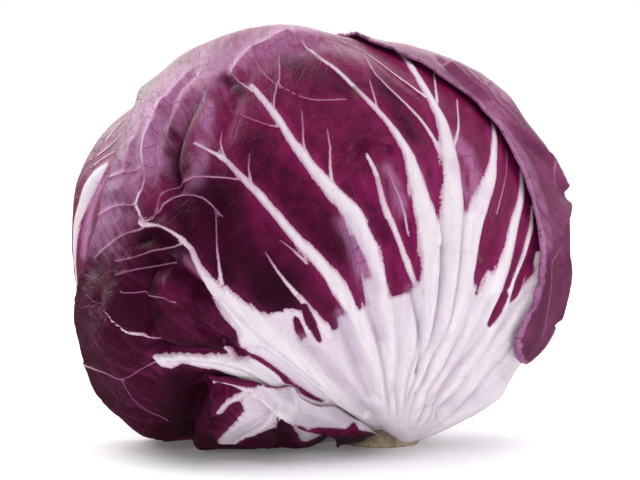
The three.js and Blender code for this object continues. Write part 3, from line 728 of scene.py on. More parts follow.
# %% Soft tones of the front leaf
# Each tone: its kind, its strength, its half width in mm, and its line. A dark tone is mostly
# painted shade, in folds, hollows, under margins and over wine that should look less lit, and
# deeper wine in a few patches; a lilac one is painted sheen and painted highlights on the upper
# left, painted shade in the white base's grooves, and a real lilac tint where the skin is thin;
# and a brown one is a bruise.
FRONT_TONES = [
    ("dark", 0.8, 2.6, [(158, 262), (152, 282), (151, 300), (157, 318)]),
    ("dark", 0.75, 2.6, [(172, 262), (190, 277), (207, 290), (222, 304), (238, 326)]),
    ("dark", 0.7, 2.4, [(163, 344), (185, 346), (212, 347), (230, 350)]),
    ("dark", 1.0, 1.8, [(206, 374), (235, 378), (258, 384), (285, 400)]),
    ("dark", 1.0, 3.0, [(204, 386), (197, 402), (191, 420), (190, 440)]),
    ("dark", 0.9, 1.8, [(146, 238), (158, 236), (170, 243), (180, 256)]),
    ("dark", 0.9, 7.5, [(214, 200), (226, 236), (252, 262), (286, 300)]),
    ("dark", 0.6, 6.0, [(258, 150), (282, 180), (312, 214), (332, 246)]),
    ("dark", 0.9, 1.5, [(201, 104), (190, 124), (181, 145), (177, 168), (181, 190)]),
    ("lilac", 0.9, 5.0, [(152, 108), (146, 135), (152, 165)]),
    ("lilac", 0.6, 2.2, [(212, 104), (206, 128), (200, 160), (196, 182)]),
    ("lilac", 0.5, 1.4, [(178, 254), (188, 262), (198, 274)]),
    ("dark", 1.0, 0.9, [(524, 322), (519, 334), (517, 345)]),
    ("dark", 0.8, 1.6, [(224, 78), (233, 85), (242, 92)]),
    ("dark", 0.5, 3.0, [(345, 190), (372, 215), (384, 236)]),
    ("dark", 0.7, 1.6, [(492, 112), (512, 142), (528, 180), (536, 220), (534, 262)]),
    ("lilac", 0.9, 2.2, [(344, 222), (354, 244), (362, 264), (370, 284)]),
    ("lilac", 0.55, 1.8, [(386, 168), (396, 190), (402, 212)]),
    ("lilac", 0.8, 1.6, [(340, 312), (350, 340), (358, 362)]),
    ("lilac", 0.8, 1.6, [(366, 280), (374, 312), (380, 336)]),
    ("lilac", 0.5, 1.6, [(409, 288), (414, 312), (417, 340)]),
    ("lilac", 0.35, 2.0, [(440, 250), (436, 300), (430, 345)]),
    ("lilac", 0.5, 1.6, [(482, 300), (466, 336), (446, 366)]),
    ("lilac", 0.45, 1.8, [(508, 305), (488, 340), (462, 372)]),
    ("lilac", 0.5, 1.4, [(264, 346), (292, 368), (322, 392)]),
    ("lilac", 0.5, 1.6, [(304, 336), (326, 360), (346, 384)]),
    ("lilac", 0.45, 3.5, [(446, 398), (476, 392), (506, 372)]),
    ("lilac", 0.7, 0.5, [(222, 294), (238, 310), (262, 334), (290, 358), (320, 384)]),
    ("lilac", 0.8, 0.5, [(170, 360), (200, 361), (230, 366), (254, 374), (284, 394)]),
    ("lilac", 0.6, 2.0, [(450, 165), (464, 190), (470, 206)]),
    ("lilac", 0.65, 10.0, [(100, 222), (112, 195), (132, 150), (166, 104), (216, 62), (300, 36)]),
    ("lilac", 0.6, 2.6, [(452, 138), (470, 160), (476, 192)]),
    ("dark", 0.45, 5.0, [(120, 290), (134, 306), (150, 322)]),
    ("lilac", 0.12, 6.0, [(88, 318), (98, 350), (116, 388)]),
    ("dark", 0.8, 4.0, [(180, 374), (178, 400), (172, 430)]),
    ("dark", 0.4, 8.0, [(290, 90), (330, 108), (372, 130)]),
    ("dark", 0.8, 6.5, [(185, 212), (205, 240), (228, 268)]),
    ("dark", 0.7, 3.5, [(380, 82), (398, 110), (412, 135)]),
    ("dark", 0.65, 5.0, [(285, 62), (320, 76), (352, 90)]),
    ("brown", 1.0, 0.5, [(478, 256), (481, 260)]),
    ("brown", 0.5, 0.8, [(354, 90), (357, 97)]),
    ("brown", 0.5, 0.7, [(316, 56), (319, 60)]),
    ("brown", 0.7, 0.5, [(468, 110), (471, 112)]),
    ("brown", 0.7, 1.2, [(362, 433), (392, 434)]),
]
print(len(FRONT_TONES), "soft tones")

# %% Lines and tones of the stub, the left leaf and the right leaf
# The stub is a white lobe with wine patches; the left leaf shows a white band.
STUB_BASE = [(262, 384), (300, 398), (400, 426), (404, 440), (388, 437), (355, 428), (308, 427)]
STUB_BASE += [(278, 418), (277, 434), (272, 452), (220, 450), (218, 440)]
STUB_BASE += [(226, 431), (236, 421), (244, 410), (240, 399), (250, 392)]
STUB_RIBS = {
    "crest": [(200, 384, 1.5), (220, 382, 2.5), (240, 386, 3.5), (260, 389, 6), (282, 402, 10)],
    "roll": [(221, 411, 3.5), (229, 401, 5.5), (243, 394, 7), (262, 394, 9), (284, 406, 12)],
}
STUB_WEDGES = {
    "magenta": [(238, 446, 4), (252, 442, 10), (266, 439, 14), (277, 434, 14)],
}
# The stub's dark tones are painted shadow under the head and painted shade in the hollow beside the
# lobe; its lilac tone is painted shade along a crease.
STUB_TONES = [
    ("dark", 1.0, 1.7, [(284, 428), (308, 436), (355, 438), (384, 444)]),
    ("dark", 0.4, 0.5, [(277, 402), (278, 418)]),
    ("dark", 0.8, 1.5, [(206, 398), (207, 410), (211, 424)]),
    ("lilac", 0.7, 0.7, [(240, 431), (254, 421), (268, 411), (276, 404)]),
]
LEFT_RIBS = {
    "band": [(105, 168, 5), (98, 177, 11), (90, 190, 12), (84, 206, 9), (79, 222, 8)]
    + [(76, 245, 6), (75, 270, 4)],
}
RIGHT_VEINS = {
    "fold_line": [(410, 41, 0.8), (455, 60, 1.1), (492, 94, 1.2), (518, 122, 1.2)]
    + [(546, 155, 1.3), (561, 188, 1.1)],
    "fold_branch": [(455, 62, 0.8), (482, 84, 0.9), (492, 80, 0.8), (498, 92, 0.6)],
    "low_line": [(546, 228, 0.6), (550, 262, 0.9), (548, 300, 0.8), (541, 335, 0.6)],
    "low_cross": [(550, 262, 0.7), (556, 254, 0.7), (561, 246, 0.6)],
}
# On the right leaf the dark tone at the top is painted shade against the sheen there; the others lighten
# the face beside the fold and darken the lower end.
RIGHT_TONES = [
    ("lilac", 0.45, 3.5, [(488, 108), (517, 150), (538, 200), (546, 240)]),
    ("dark", 0.3, 4.0, [(372, 42), (400, 52), (440, 68), (470, 90)]),
    ("dark", 0.35, 4.0, [(546, 270), (540, 310), (530, 345)]),
]
# On the left leaf the lilac tone is the leaf's own violet patch; the dark tones are painted shadow under
# the front leaf's margin.
LEFT_TONES = [
    ("lilac", 1.0, 2.2, [(100, 184), (93, 202), (88, 226), (84, 250)]),
    ("dark", 0.9, 0.8, [(148, 86), (132, 108), (118, 132), (110, 150)]),
    ("dark", 0.8, 0.7, [(108, 134), (98, 150), (93, 164)]),
]
LEFT_VEINS = {
    "edge_1": [(128, 116, 1.0), (118, 126, 1.2), (107, 140, 1.0)],
    "edge_2": [(122, 134, 0.9), (110, 146, 1.1), (98, 156, 1.0)],
    "edge_3": [(114, 152, 0.9), (104, 158, 1.0), (94, 166, 1.0)],
}
print(len(STUB_RIBS), "ribs on the stub and", len(RIGHT_VEINS), "lines on the right leaf")

# %% Put the drawings on the leaves


def drawn_lines(leaf, lines, widest=np.inf):
    """Lines drawn in the camera's frame, as flat lines on a leaf and half widths in mm. Both
    edges of a line are looked up, so it keeps its seen width where the leaf turns away, up to a
    widest half width."""
    edges = []
    for points in lines.values():
        points = np.array(points, float)
        run = np.gradient(points[:, :2], axis=0)
        beside = unit(np.column_stack([-run[:, 1], run[:, 0]])) * points[:, 2:] / 2
        edges += [points[:, :2] - beside, points[:, :2] + beside]
    flat = drawn_on(leaf, edges)
    found = {}
    for (name, points), a, b in zip(lines.items(), flat[::2], flat[1::2]):
        half = np.minimum(np.linalg.norm(b - a, axis=1) / 2, widest)
        found[name] = ((a + b) / 2, np.minimum(half, WIDEST_SHARE * POINT_HALF * np.array(points)[:, 2]))
    return found


def drawn_tones(leaf, tones):
    """Soft tones with their lines on the flat leaf."""
    lines = drawn_on(leaf, [line for _, _, _, line in tones])
    return [(kind, share, half, line) for (kind, share, half, _), line in zip(tones, lines)]


for leaf in LEAVES.values():
    leaf["wedges"], leaf["tones"], leaf["base"] = {}, [], None
STUB, LEFT = LEAVES["leaf_stub"], LEAVES["leaf_left"]
FRONT["rib_lines"] = drawn_lines(FRONT, FRONT_RIBS)
FRONT["vein_lines"] = drawn_lines(FRONT, FRONT_VEINS)
# The curled lip's pale edge runs along its fold, a little behind the step.
lip = placed_folds[list(FRONT_FOLDS).index("curled_lip")][3]
run = np.gradient(lip, axis=0)
lip_crest = lip + LIP_CREST * unit(np.column_stack([-run[:, 1], run[:, 0]]))
FRONT["vein_lines"]["lip_edge"] = (lip_crest, LIP_HALF)
FRONT["wedges"], FRONT["tones"] = drawn_lines(FRONT, WEDGES), drawn_tones(FRONT, FRONT_TONES)
FRONT["base"] = drawn_on(FRONT, [BASE_OUTLINE])[0]
STUB["rib_lines"], STUB["vein_lines"] = drawn_lines(STUB, STUB_RIBS), {}
STUB["base"] = drawn_on(STUB, [STUB_BASE])[0]
STUB["wedges"], STUB["tones"] = drawn_lines(STUB, STUB_WEDGES), drawn_tones(STUB, STUB_TONES)
LEFT["tones"] = drawn_tones(LEFT, LEFT_TONES)
print(len(FRONT_RIBS), "ribs,", len(FRONT_VEINS), "veins and", len(WEDGES), "wedges on the front leaf")

# %% [markdown]
# ## The other leaves' ribs
#
# The other leaves show their ribs from the side and the back of the head. Drawing each would be
# long, and no view needs it exact, so they are grown by one rule: main ribs run from the foot
# along the leaf's own lines, thinning towards the tip, and side veins leave them at a slant,
# each a little different by chance.

# %% Ribs and veins grown by rule
RIB_END = 0.95  # share of the leaf's length
VEIN_STARTS = np.arange(0.3, 0.9, 0.085)  # shares of it where side veins leave a rib
VEIN_RISE = 0.1  # share of it that a side vein climbs
VEIN_LIMIT = 0.97  # share of the leaf's half width past which no vein runs
VEIN_HALF = np.array([0.3, 0.24, 0.18])  # mm, from the rib outwards


def grown_lines(leaf, ribs, seed, foot_half, tip_half):
    """Ribs at shares u of the leaf's width, wandering a little, whose half width falls about with
    the square of the way left to the tip; and side veins that leave a rib at v and reach a tenth
    of the leaf further up and a share of the way to the next rib."""
    chance = np.random.default_rng(seed)
    grown_ribs = {}
    grown_veins = {}
    steps = np.linspace(0, RIB_END, 9)
    spacing = np.diff(np.array([-1, *ribs, 1])).min()
    for i, rib in enumerate(ribs):
        drift = np.cumsum(chance.normal(0, 0.012, len(steps))) * (1 - abs(rib))
        u = rib * (0.85 + 0.15 * steps) + drift
        half = tip_half + (foot_half - tip_half) * (1 - steps) ** 2.2 * (1 - 0.3 * abs(rib))
        grown_ribs[f"rib_{i}"] = (flat_points(leaf, u, steps), half)
        for k, v in enumerate(VEIN_STARTS):
            for side in (-1, 1):
                leave = v + chance.uniform(-0.03, 0.03)
                reach = spacing * chance.uniform(0.45, 0.8) * side
                share = np.linspace(0, 1, 5)
                start = np.interp(leave, steps, u)
                bend = share + 0.25 * np.sin(np.pi * share)
                ends = np.clip(start + reach * share, -VEIN_LIMIT, VEIN_LIMIT)
                vein = flat_points(leaf, ends, leave + VEIN_RISE * bend)
                grown_veins[f"vein_{i}_{k}_{side}"] = (vein, VEIN_HALF)
    return grown_ribs, grown_veins


FAN = [-0.76, -0.5, -0.25, 0, 0.25, 0.5, 0.76]  # shares of the half width
FANS = {"leaf_right": FAN[2:], "leaf_left": FAN[:-2]}  # their other margins show drawn lines
RIB_FOOT_HALF, RIB_TIP_HALF = 5.0, 0.35  # mm
for name, leaf in LEAVES.items():
    if name not in ("leaf_front", "leaf_stub"):
        grown = grown_lines(leaf, FANS.get(name, FAN), leaf["order"] + 3, RIB_FOOT_HALF, RIB_TIP_HALF)
        leaf["rib_lines"], leaf["vein_lines"] = grown
LEFT["rib_lines"].update(drawn_lines(LEFT, LEFT_RIBS))
LEFT["vein_lines"].update(drawn_lines(LEFT, LEFT_VEINS))
RIGHT["vein_lines"].update(drawn_lines(RIGHT, RIGHT_VEINS, VEIN_ON_RIGHT))

# The white band is the upper part of a rib, which widens on its way to the foot.
FOOT = np.array([0, -67.0])  # where a flat leaf's ribs run together
BAND_FOOT_HALF = 4.0
band, band_half = LEFT["rib_lines"]["band"]
way_down = np.linspace(0, 1, 7)[1:, None]
to_foot = band[-1] * (1 - way_down) + FOOT * way_down
foot_half = np.linspace(band_half[-1], BAND_FOOT_HALF, 7)[1:]
LEFT["rib_lines"]["band"] = np.vstack([band, to_foot]), np.concatenate([band_half, foot_half])
print("the band ends at", np.round(band[-1], 1), "mm, half width", np.round(band_half, 1))
RIGHT["tones"] = drawn_tones(RIGHT, RIGHT_TONES)
print({name: len(leaf["vein_lines"]) for name, leaf in LEAVES.items()}, "side veins")

# %% [markdown]
# ## What a leaf's surface knows
#
# Before a leaf becomes a mesh, every point of it learns how deep it lies in the white of a rib,
# how wide that rib is, and how far the rib stands up. The first two colour it later on; the
# last one moves it. Rounded ridges are added as the larger of their heights, and not as their
# sum, so that ribs which run together stay two folds with a crease between them.

# %% Fields of a leaf
TONE_NAMES = ["dark", "lilac", "brown"]
THIN = 0.6  # mm of half width, under which a line is drawn by its signed distance
BROAD = 2.5  # mm of half width from which a rib counts as fully wide
RIB_REACH, VEIN_REACH = 12, 5  # mm from a line within which it tells points about itself
RIB_BASE_HEIGHT, VEIN_BASE_HEIGHT = 0.25, 0.16  # mm, to which a share of the half width is added
HEIGHT_SHARE, HIGHEST = 0.55, 1.9
FOOT_WHITE = 20  # mm round the foot of a grown leaf that are white
OUTSIDE, FAR = -30.0, 40.0  # mm, where no line is near


def line_fields(leaf, flat):
    """What the ribs and thin veins tell flat points: white, the distance in mm inside the
    nearest edge; wide, that line's width as a share of a broad one; raised, the height, a
    rounded ridge (1 - x^2)^1.5 of the distance over the ridge's half width, lower in the crease
    between two ribs; and for the nearest thin line the signed distance across it, its half
    width, and the distance inside its edge."""
    white, deepest = np.full((2, len(flat)), OUTSIDE)
    nearest_rib, next_rib = np.full((2, len(flat)), FAR)
    wide, raised, half_width = np.zeros((3, len(flat)))
    across, in_line = np.full(len(flat), 9.0), np.full(len(flat), -9.0)
    for lines, reach in ((leaf["rib_lines"], RIB_REACH), (leaf["vein_lines"], VEIN_REACH)):
        is_rib = reach == RIB_REACH
        for points, half in lines.values():
            distance, side, width = near_line(flat, points, half, reach)
            near = np.flatnonzero(np.isfinite(distance))
            away, width = distance[near], width[near]
            inside = width - away
            thin = (inside > in_line[near]) & (width < THIN)
            across[near[thin]] = (side * distance)[near[thin]]
            half_width[near[thin]] = width[thin]
            in_line[near[thin]] = inside[thin]
            wide[near] = np.where(inside > deepest[near], np.clip(width / BROAD, 0, 1), wide[near])
            deepest[near] = np.maximum(deepest[near], inside)
            white[near] = soft_max(white[near], inside, 0.15)
            ridge = np.clip(1 - (away / (1.15 * width + 0.5)) ** 2, 0, 1) ** 1.5
            height = (RIB_BASE_HEIGHT if is_rib else VEIN_BASE_HEIGHT) + HEIGHT_SHARE * width
            raised[near] = np.maximum(raised[near], np.minimum(height, HIGHEST) * ridge)
            if is_rib:
                next_rib[near] = np.minimum(next_rib[near], np.maximum(nearest_rib[near], away))
                nearest_rib[near] = np.minimum(nearest_rib[near], away)
    crease = 1 - smoothstep(next_rib - nearest_rib, 0, 2.2)
    crease *= smoothstep(white, -0.2, 0.8) * smoothstep(np.linalg.norm(flat - FOOT, axis=1), 8, 28)
    return white, wide, raised * (1 - 0.7 * crease), across, half_width, in_line


def tone_field(leaf, flat):
    """The strengths of the soft tones, each a bell curve of the distance to its line."""
    tone = np.zeros((len(flat), len(TONE_NAMES)))
    for kind, strength, half, line in leaf["tones"]:
        distance, _, _ = near_line(flat, line, [1, 1], 3.2 * half)
        column = TONE_NAMES.index(kind)
        tone[:, column] = np.maximum(tone[:, column], strength * np.exp(-((distance / half) ** 2)))
    return tone


def leaf_fields(leaf, flat):
    """The three fields of flat points, each of three columns: leaf is white, wide and raised,
    vein is the nearest thin line, and tone the soft tones. The white base and a white foot add
    to the ribs' white, and wine wedges cut into it and lie lower."""
    white, wide, raised, across, half_width, in_line = line_fields(leaf, flat)
    if leaf["base"] is not None:
        base = distance_inside(leaf["base"], flat)
        wide = np.maximum(wide, smoothstep(base, -3, 2))
        white = soft_max(white, base, 0.3)
    if leaf["name"] not in ("leaf_front", "leaf_stub"):
        foot = FOOT_WHITE - np.linalg.norm(flat - FOOT, axis=1)
        white = soft_max(white, foot, 0.5)
        wide = np.maximum(wide, smoothstep(foot, -4, 2))
    for points, half in leaf["wedges"].values():
        distance, _, width = near_line(flat, points, half, 8)
        near = np.isfinite(distance)
        half_width[distance < width] = 0
        white[near] = np.minimum(white[near], 1.7 * (distance[near] - width[near]))
        sink = np.clip(1 - (distance[near] / (width[near] + 0.6)) ** 2, 0, 1)
        raised[near] *= 1 - 0.7 * sink
    return {
        "leaf": np.column_stack([white, wide, raised]),
        "vein": np.column_stack([across, half_width, in_line]),
        "tone": tone_field(leaf, flat),
    }


middle_of_rib = leaf_fields(FRONT, FRONT["rib_lines"]["midrib"][0][4:5])
print("on the midrib: white, wide, raised =", middle_of_rib["leaf"].round(2))

# %% [markdown]
# ## From flat leaf to sheet
#
# A leaf is a closed sheet: an outer face on a fine grid, an inner face on a grid four times
# coarser, which nobody sees closely, and a rim that joins them. One could give a single surface
# a thickness with a Solidify modifier, but then ribs would show on both faces and the leaves
# underneath could not be kept clear.

# %% The leaf as a closed mesh
COARSER = 4


def point_at_depth(ways, depth, inside=0.0):
    """Points this deep under the head's outside, or by inside further in, and held above the
    table by the same amount: the radius is at most (middle height - depth) over how steeply
    the way points down. The plain model's box holds them in the same way."""
    radius = head_radius(ways) - depth - inside
    held = (MIDDLE_HEIGHT - np.maximum(depth, 0) - inside) / np.maximum(-ways[:, 2], 1e-6)
    radius = np.where(ways[:, 2] < 0, np.minimum(radius, held), radius)
    walls = np.where(ways > 0, HEAD_BOX[1], -HEAD_BOX[0]) - np.reshape(inside, (-1, 1))
    radius = np.minimum(radius, (walls / np.maximum(np.abs(ways), 1e-6)).min(axis=1))
    return ways * radius[:, None]


def grid_faces(rows, columns, first=0, flip=False):
    """Four-cornered faces of a grid whose points run row by row."""
    corner = first + np.arange(rows - 1)[:, None] * columns + np.arange(columns - 1)
    corners = [corner, corner + 1, corner + columns + 1, corner + columns]
    if flip:
        corners = corners[::-1]
    return np.stack(corners, axis=-1).reshape(-1, 4)


def rim_walk(rows, columns):
    """Indices round the rim of a grid, anticlockwise from its first corner."""
    bottom = np.arange(0, columns - 1)
    right = np.arange(0, rows - 1) * columns + columns - 1
    top = (rows - 1) * columns + np.arange(columns - 1, 0, -1)
    left = np.arange(rows - 1, 0, -1) * columns
    return np.concatenate([bottom, right, top, left])


def sheet_faces(rows, columns):
    """Faces of a closed sheet: the outer face on the whole grid, the inner one on every fourth
    point and turned the other way, and a rim that joins them; and which points the inner face
    keeps."""
    rows_in = np.arange(0, rows, COARSER)
    columns_in = np.arange(0, columns, COARSER)
    kept = (rows_in[:, None] * columns + columns_in).ravel()
    faces = grid_faces(rows, columns).tolist()
    faces += grid_faces(len(rows_in), len(columns_in), rows * columns, flip=True).tolist()
    around = rim_walk(rows, columns)
    around_in = rim_walk(len(rows_in), len(columns_in)) + rows * columns
    corners = np.arange(len(around_in))
    outer_side = around[(corners[:, None] * COARSER + np.arange(COARSER, -1, -1)) % len(around)]
    inner_side = np.column_stack([around_in, np.roll(around_in, -1)])
    return faces + np.hstack([outer_side, inner_side]).tolist(), kept


def mesh_of(name, points, faces, fields=None):
    """A smooth mesh object from points in mm about the head's middle, placed in metres."""
    mesh = bpy.data.meshes.new(name)
    mesh.from_pydata(((points + MIDDLE) / 1000).tolist(), [], faces)
    mesh.polygons.foreach_set("use_smooth", np.ones(len(mesh.polygons), bool))
    for field, values in (fields or {}).items():
        attribute = mesh.attributes.new(field, "FLOAT_VECTOR", "POINT")
        attribute.data.foreach_set("vector", np.ascontiguousarray(values, np.float32).ravel())
    mesh.update()
    piece = bpy.data.objects.new(name, mesh)
    bpy.context.scene.collection.objects.link(piece)
    return piece


print("a sheet of 5 by 9 points has", len(sheet_faces(5, 9)[0]), "faces")

# %% A leaf's relief
MARGIN_WAVES = [(0.8, 10), (0.4, 2.6)]  # mm that a margin wanders, over how many mm
RAGGED, RAGGED_SIZE = 0.25, 1.1  # the same for its finest wave, unless a leaf says otherwise
GRAIN_FOOT = np.array([0, -69.0])  # where the skin's streaks run together
COVERED_RELIEF = 0.3  # share of the relief that is left under other leaves
RIM_U, RIM_V = 0.985, 0.993  # where a pale rim begins


def wandering(flat, leaf, margin):
    """Flat points moved to or from the leaf's centre by noise of three sizes, at its margin."""
    wander = np.zeros(len(flat))
    for k, (height, size) in enumerate([*MARGIN_WAVES, (leaf.get("ragged", RAGGED), RAGGED_SIZE)]):
        wander += height * plane_noise(flat, size, 10 * leaf["order"] + k)
    outward = flat / np.linalg.norm(flat, axis=1, keepdims=True)
    return flat + outward * (wander * margin)[:, None]


def grain_of(flat, v):
    """Where a flat point lies as seen from the foot: its angle, its distance and v."""
    from_foot = flat - GRAIN_FOOT
    angle = np.degrees(np.arctan2(from_foot[:, 0], from_foot[:, 1]))
    return np.column_stack([angle, np.linalg.norm(from_foot, axis=1), v])


def leaf_sheet(leaf, u, v):
    """The leaf over a grid of u across and v along. Its margin wanders by noise and lifts off
    the leaf below by its curl; its face is raised by ribs and puckered by noise between them;
    where other leaves cover it, that relief is a third as high."""
    columns, rows = len(u), len(v)
    grid_u = np.tile(u, rows)
    grid_v = np.repeat(v, columns)
    flat = flat_points(leaf, grid_u, grid_v)
    margin = np.maximum(np.abs(grid_u) ** 8, grid_v**10) * smoothstep(grid_v, 0.02, 0.15)
    flat = wandering(flat, leaf, margin)
    ways = wrap(leaf, flat)
    pressed, bare = depth_under(leaf["order"] + 1, ways)
    pressed = np.maximum(pressed, leaf.get("sunk", 0.0))
    fields = leaf_fields(leaf, flat)
    if leaf.get("pale_rim"):
        at_rim = (np.abs(grid_u) > RIM_U) | (grid_v > RIM_V)
        fields["tone"][at_rim, TONE_NAMES.index("lilac")] = 1.0
    white, raised = fields["leaf"][:, 0], fields["leaf"][:, 2]
    seed = 10 * leaf["order"]
    between = smoothstep(-white, 0.3, 4.0)
    pucker = 0.22 * plane_noise(flat, 7, seed + 3) + 0.06 * plane_noise(flat, 2.0, seed + 4)
    pucker = (pucker + 0.25 * between) * between
    wave = 0.6 * np.sin(9 * grid_v * np.pi + 2 * leaf["order"]) + 0.7 * plane_noise(flat, 8, seed + 5)
    calm_tip = 1 - 0.8 * smoothstep(grid_v, 0.72, 0.95)
    lift = bare * margin * calm_tip * leaf["curl"] * (1 + 0.5 * wave)
    shown = COVERED_RELIEF + (1 - COVERED_RELIEF) * bare
    depth = pressed - lift - pucker * shown
    taper = leaf.get("taper", 0) * smoothstep(grid_u, 0.1, 1) * (1 - smoothstep(grid_v, 0.5, 0.75))
    outer = point_at_depth(ways, depth - raised * shown + taper)
    faces, kept = sheet_faces(rows, columns)
    inner = point_at_depth(ways[kept], depth[kept], thickness(ways[kept]))
    fields["flat"] = np.column_stack([flat, np.zeros(len(flat))])
    fields["grain"] = grain_of(flat, grid_v)
    fields = {field: np.vstack([values, values[kept]]) for field, values in fields.items()}
    return mesh_of(leaf["name"] + "_skin", np.vstack([outer, inner]), faces, fields)


def stepped(knots, counts):
    """Grid shares that are even between knots, with this many cells between each pair."""
    parts = [np.linspace(a, b, n, endpoint=False) for a, b, n in zip(knots, knots[1:], counts)]
    return np.concatenate([*parts, [knots[-1]]])


print("five even shares", stepped([0, 1], [4]))

# %% [markdown]
# ## The base scale
#
# When a head is trimmed, the outermost leaves are cut off and leave a short white foot round the
# stem. On the right such a scale closes the head under the right leaf's lower corner. It could
# bulge out as the leaves do, but it was cut back and presses on nothing, so it lies a few
# millimetres deeper, and it is white all over.

# %% Base scale
SCALE_SUNK = 4.0  # mm under the head's outside, where no leaf covers it
SCALE_ROOM = 1.5  # mm between its outer face and the heart under it
SCALE_LEFT = [(-12, -69), (-32, -60), (-46, -48), (-44, -36), (-24, -26)]
SCALE = {
    "name": "base_scale",
    "order": FRONT["order"] - 1,
    "azimuth": 80,
    "curl": 0.2,
    "left": SCALE_LEFT,
    "midrib": [(0, -67.4), (0, -58), (0, -46), (0, -34), (0, -24)],
    "right": [(-x, y) for x, y in SCALE_LEFT],
    "wedges": {},
    "tones": [],
    "sunk": SCALE_SUNK,
    "base": np.array([(-60, -75), (60, -75), (60, -15), (-60, -15)], float),
    "vein_lines": {},
}
SCALE_RIBS = [-0.7, -0.42, -0.14, 0.14, 0.42, 0.7]
place_leaf(SCALE)
SCALE["rib_lines"], _ = grown_lines(SCALE, SCALE_RIBS, seed=41, foot_half=4.0, tip_half=1.2)
print("base scale with", len(SCALE["rib_lines"]), "ribs")

# %% Six leaves and the base scale
GRIDS = {
    "leaf_inner_back": (stepped([-1, 1], [100]), stepped([0, 1], [112])),
    "leaf_left": (stepped([-1, 1], [200]), stepped([0, 1], [260])),
    "leaf_front": (stepped([-1, 0.62, 1], [272, 20]), stepped([0, 0.78, 1], [284, 24])),
    "leaf_back": (stepped([-1, 1], [220]), stepped([0, 1], [260])),
    "leaf_right": (stepped([-1, 1], [220]), stepped([0, 1], [320])),
    "leaf_stub": (stepped([-1, 1], [100]), stepped([0, 1], [160])),
}
skins = {}
for name in LEAF_ORDER:
    skin = leaf_sheet(LEAVES[name], *GRIDS[name])
    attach(skin, "root")
    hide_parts(name)
    skins[name] = skin
    print(name, len(skin.data.vertices), "points")

scale = leaf_sheet(SCALE, stepped([-1, 1], [100]), stepped([0, 1], [80]))
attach(scale, "root")
skins["base_scale"] = scale
print("base scale", len(scale.data.vertices), "points")

# %% [markdown]
# ## Shader maths in words
#
# A finish is a network of nodes. Wiring each one by hand hides the idea, so a small class wraps
# a socket and lets sums be written as sums. Every operator adds one Math node, and all other
# nodes come from one method that takes the node's type, its settings and its inputs.

# %% A wrapped socket and a finish


class Wire:
    """A shader socket that can be added, multiplied and limited like a number."""

    def __init__(self, finish, socket):
        self.finish = finish
        self.socket = socket

    def math(self, operation, *values):
        """One Math node with these values or wires."""
        return self.finish.node("ShaderNodeMath", {"operation": operation}, dict(enumerate(values)))

    def __add__(self, other):
        return self.math("ADD", self, other)

    def __sub__(self, other):
        return self.math("SUBTRACT", self, other)

    def __rsub__(self, other):
        return self.math("SUBTRACT", other, self)

    def __mul__(self, other):
        return self.math("MULTIPLY", self, other)

    def __truediv__(self, other):
        return self.math("DIVIDE", self, other)

    def __pow__(self, other):
        return self.math("POWER", self, other)

    __radd__ = __add__
    __rmul__ = __mul__

    def most(self, other):
        return self.math("MAXIMUM", self, other)

    def between(self, low, high):
        """0 below low and 1 above high, smooth between them."""
        settings = {"interpolation_type": "SMOOTHSTEP"}
        inputs = {"Value": self, "From Min": low, "From Max": high}
        return self.finish.node("ShaderNodeMapRange", settings, inputs)


class Finish:
    """A material under construction, or the room's light, which is a network too."""

    def __init__(self, name, kind="materials", shader="Principled BSDF"):
        self.material = getattr(bpy.data, kind).new(name)
        self.material.use_nodes = True
        self.tree = self.material.node_tree
        self.shader = self.tree.nodes[shader]

    def node(self, kind, settings=None, inputs=None, output=0):
        """Adds a node: settings first, then values or links of its inputs, by name or place."""
        made = self.tree.nodes.new(kind)
        for key, value in (settings or {}).items():
            setattr(made, key, value)
        for key, value in (inputs or {}).items():
            self.join(value, made.inputs[key])
        return Wire(self, made.outputs[output])

    def join(self, value, socket):
        """Links a wire to a socket, or makes a value the socket's own."""
        if isinstance(value, Wire):
            self.tree.links.new(value.socket, socket)
        else:
            socket.default_value = value

    def field(self, name):
        """The three columns of one of the mesh's fields, and the field as a vector."""
        vector = self.node("ShaderNodeAttribute", {"attribute_name": name}, output="Vector")
        parts = self.tree.nodes.new("ShaderNodeSeparateXYZ")
        self.tree.links.new(vector.socket, parts.inputs[0])
        return [Wire(self, parts.outputs[i]) for i in range(3)], vector

    def mix(self, factor, a, b):
        """A blend from colour a to colour b."""
        settings = {"data_type": "RGBA", "clamp_factor": True}
        return self.node("ShaderNodeMix", settings, {0: factor, 6: a, 7: b}, output=2)

    def noise(self, vector, scale, detail=3.0, roughness=0.55):
        """Noise about a half, with scale bumps to a unit of the vector."""
        inputs = {"Vector": vector, "Scale": scale, "Detail": detail, "Roughness": roughness}
        return self.node("ShaderNodeTexNoise", {}, inputs)

    def set(self, **values):
        """Values or links of the shader's own sockets; underscores stand for spaces."""
        for key, value in values.items():
            self.join(value, self.shader.inputs[key.replace("_", " ")])


def colour(red, green, blue):
    """A colour given as it looks on a screen, 0 to 255, as linear light: below 0.04045 the value
    over 12.92, above it ((value + 0.055) / 1.055) to the power 2.4."""
    value = np.array([red, green, blue]) / 255
    linear = np.where(value <= 0.04045, value / 12.92, ((value + 0.055) / 1.055) ** 2.4)
    return (*linear, 1.0)


print("wine is", np.round(colour(92, 18, 52), 3))

# %% [markdown]
# ## The skin of a leaf
#
# The skin is wine red, darker in patches and a little streaked from foot to tip, and it turns
# magenta where it thins beside a rib. Painted shade darkens it to near black in folds, hollows
# and under margins, and a painted lilac sheen lies over the upper left, where the net of veins
# shows darker through it. The ribs are white with a breath of lilac, which is painted shade in
# the base's grooves, with more painted shade between them and away from the foot, and their
# edges are feathered, because the colour sits in a skin that frays out over the white. A net of
# fine veins covers the blade. The finish is a soft gloss, a little waxy. The right leaf is the
# outermost and has a bloom, so it gets paler tones.

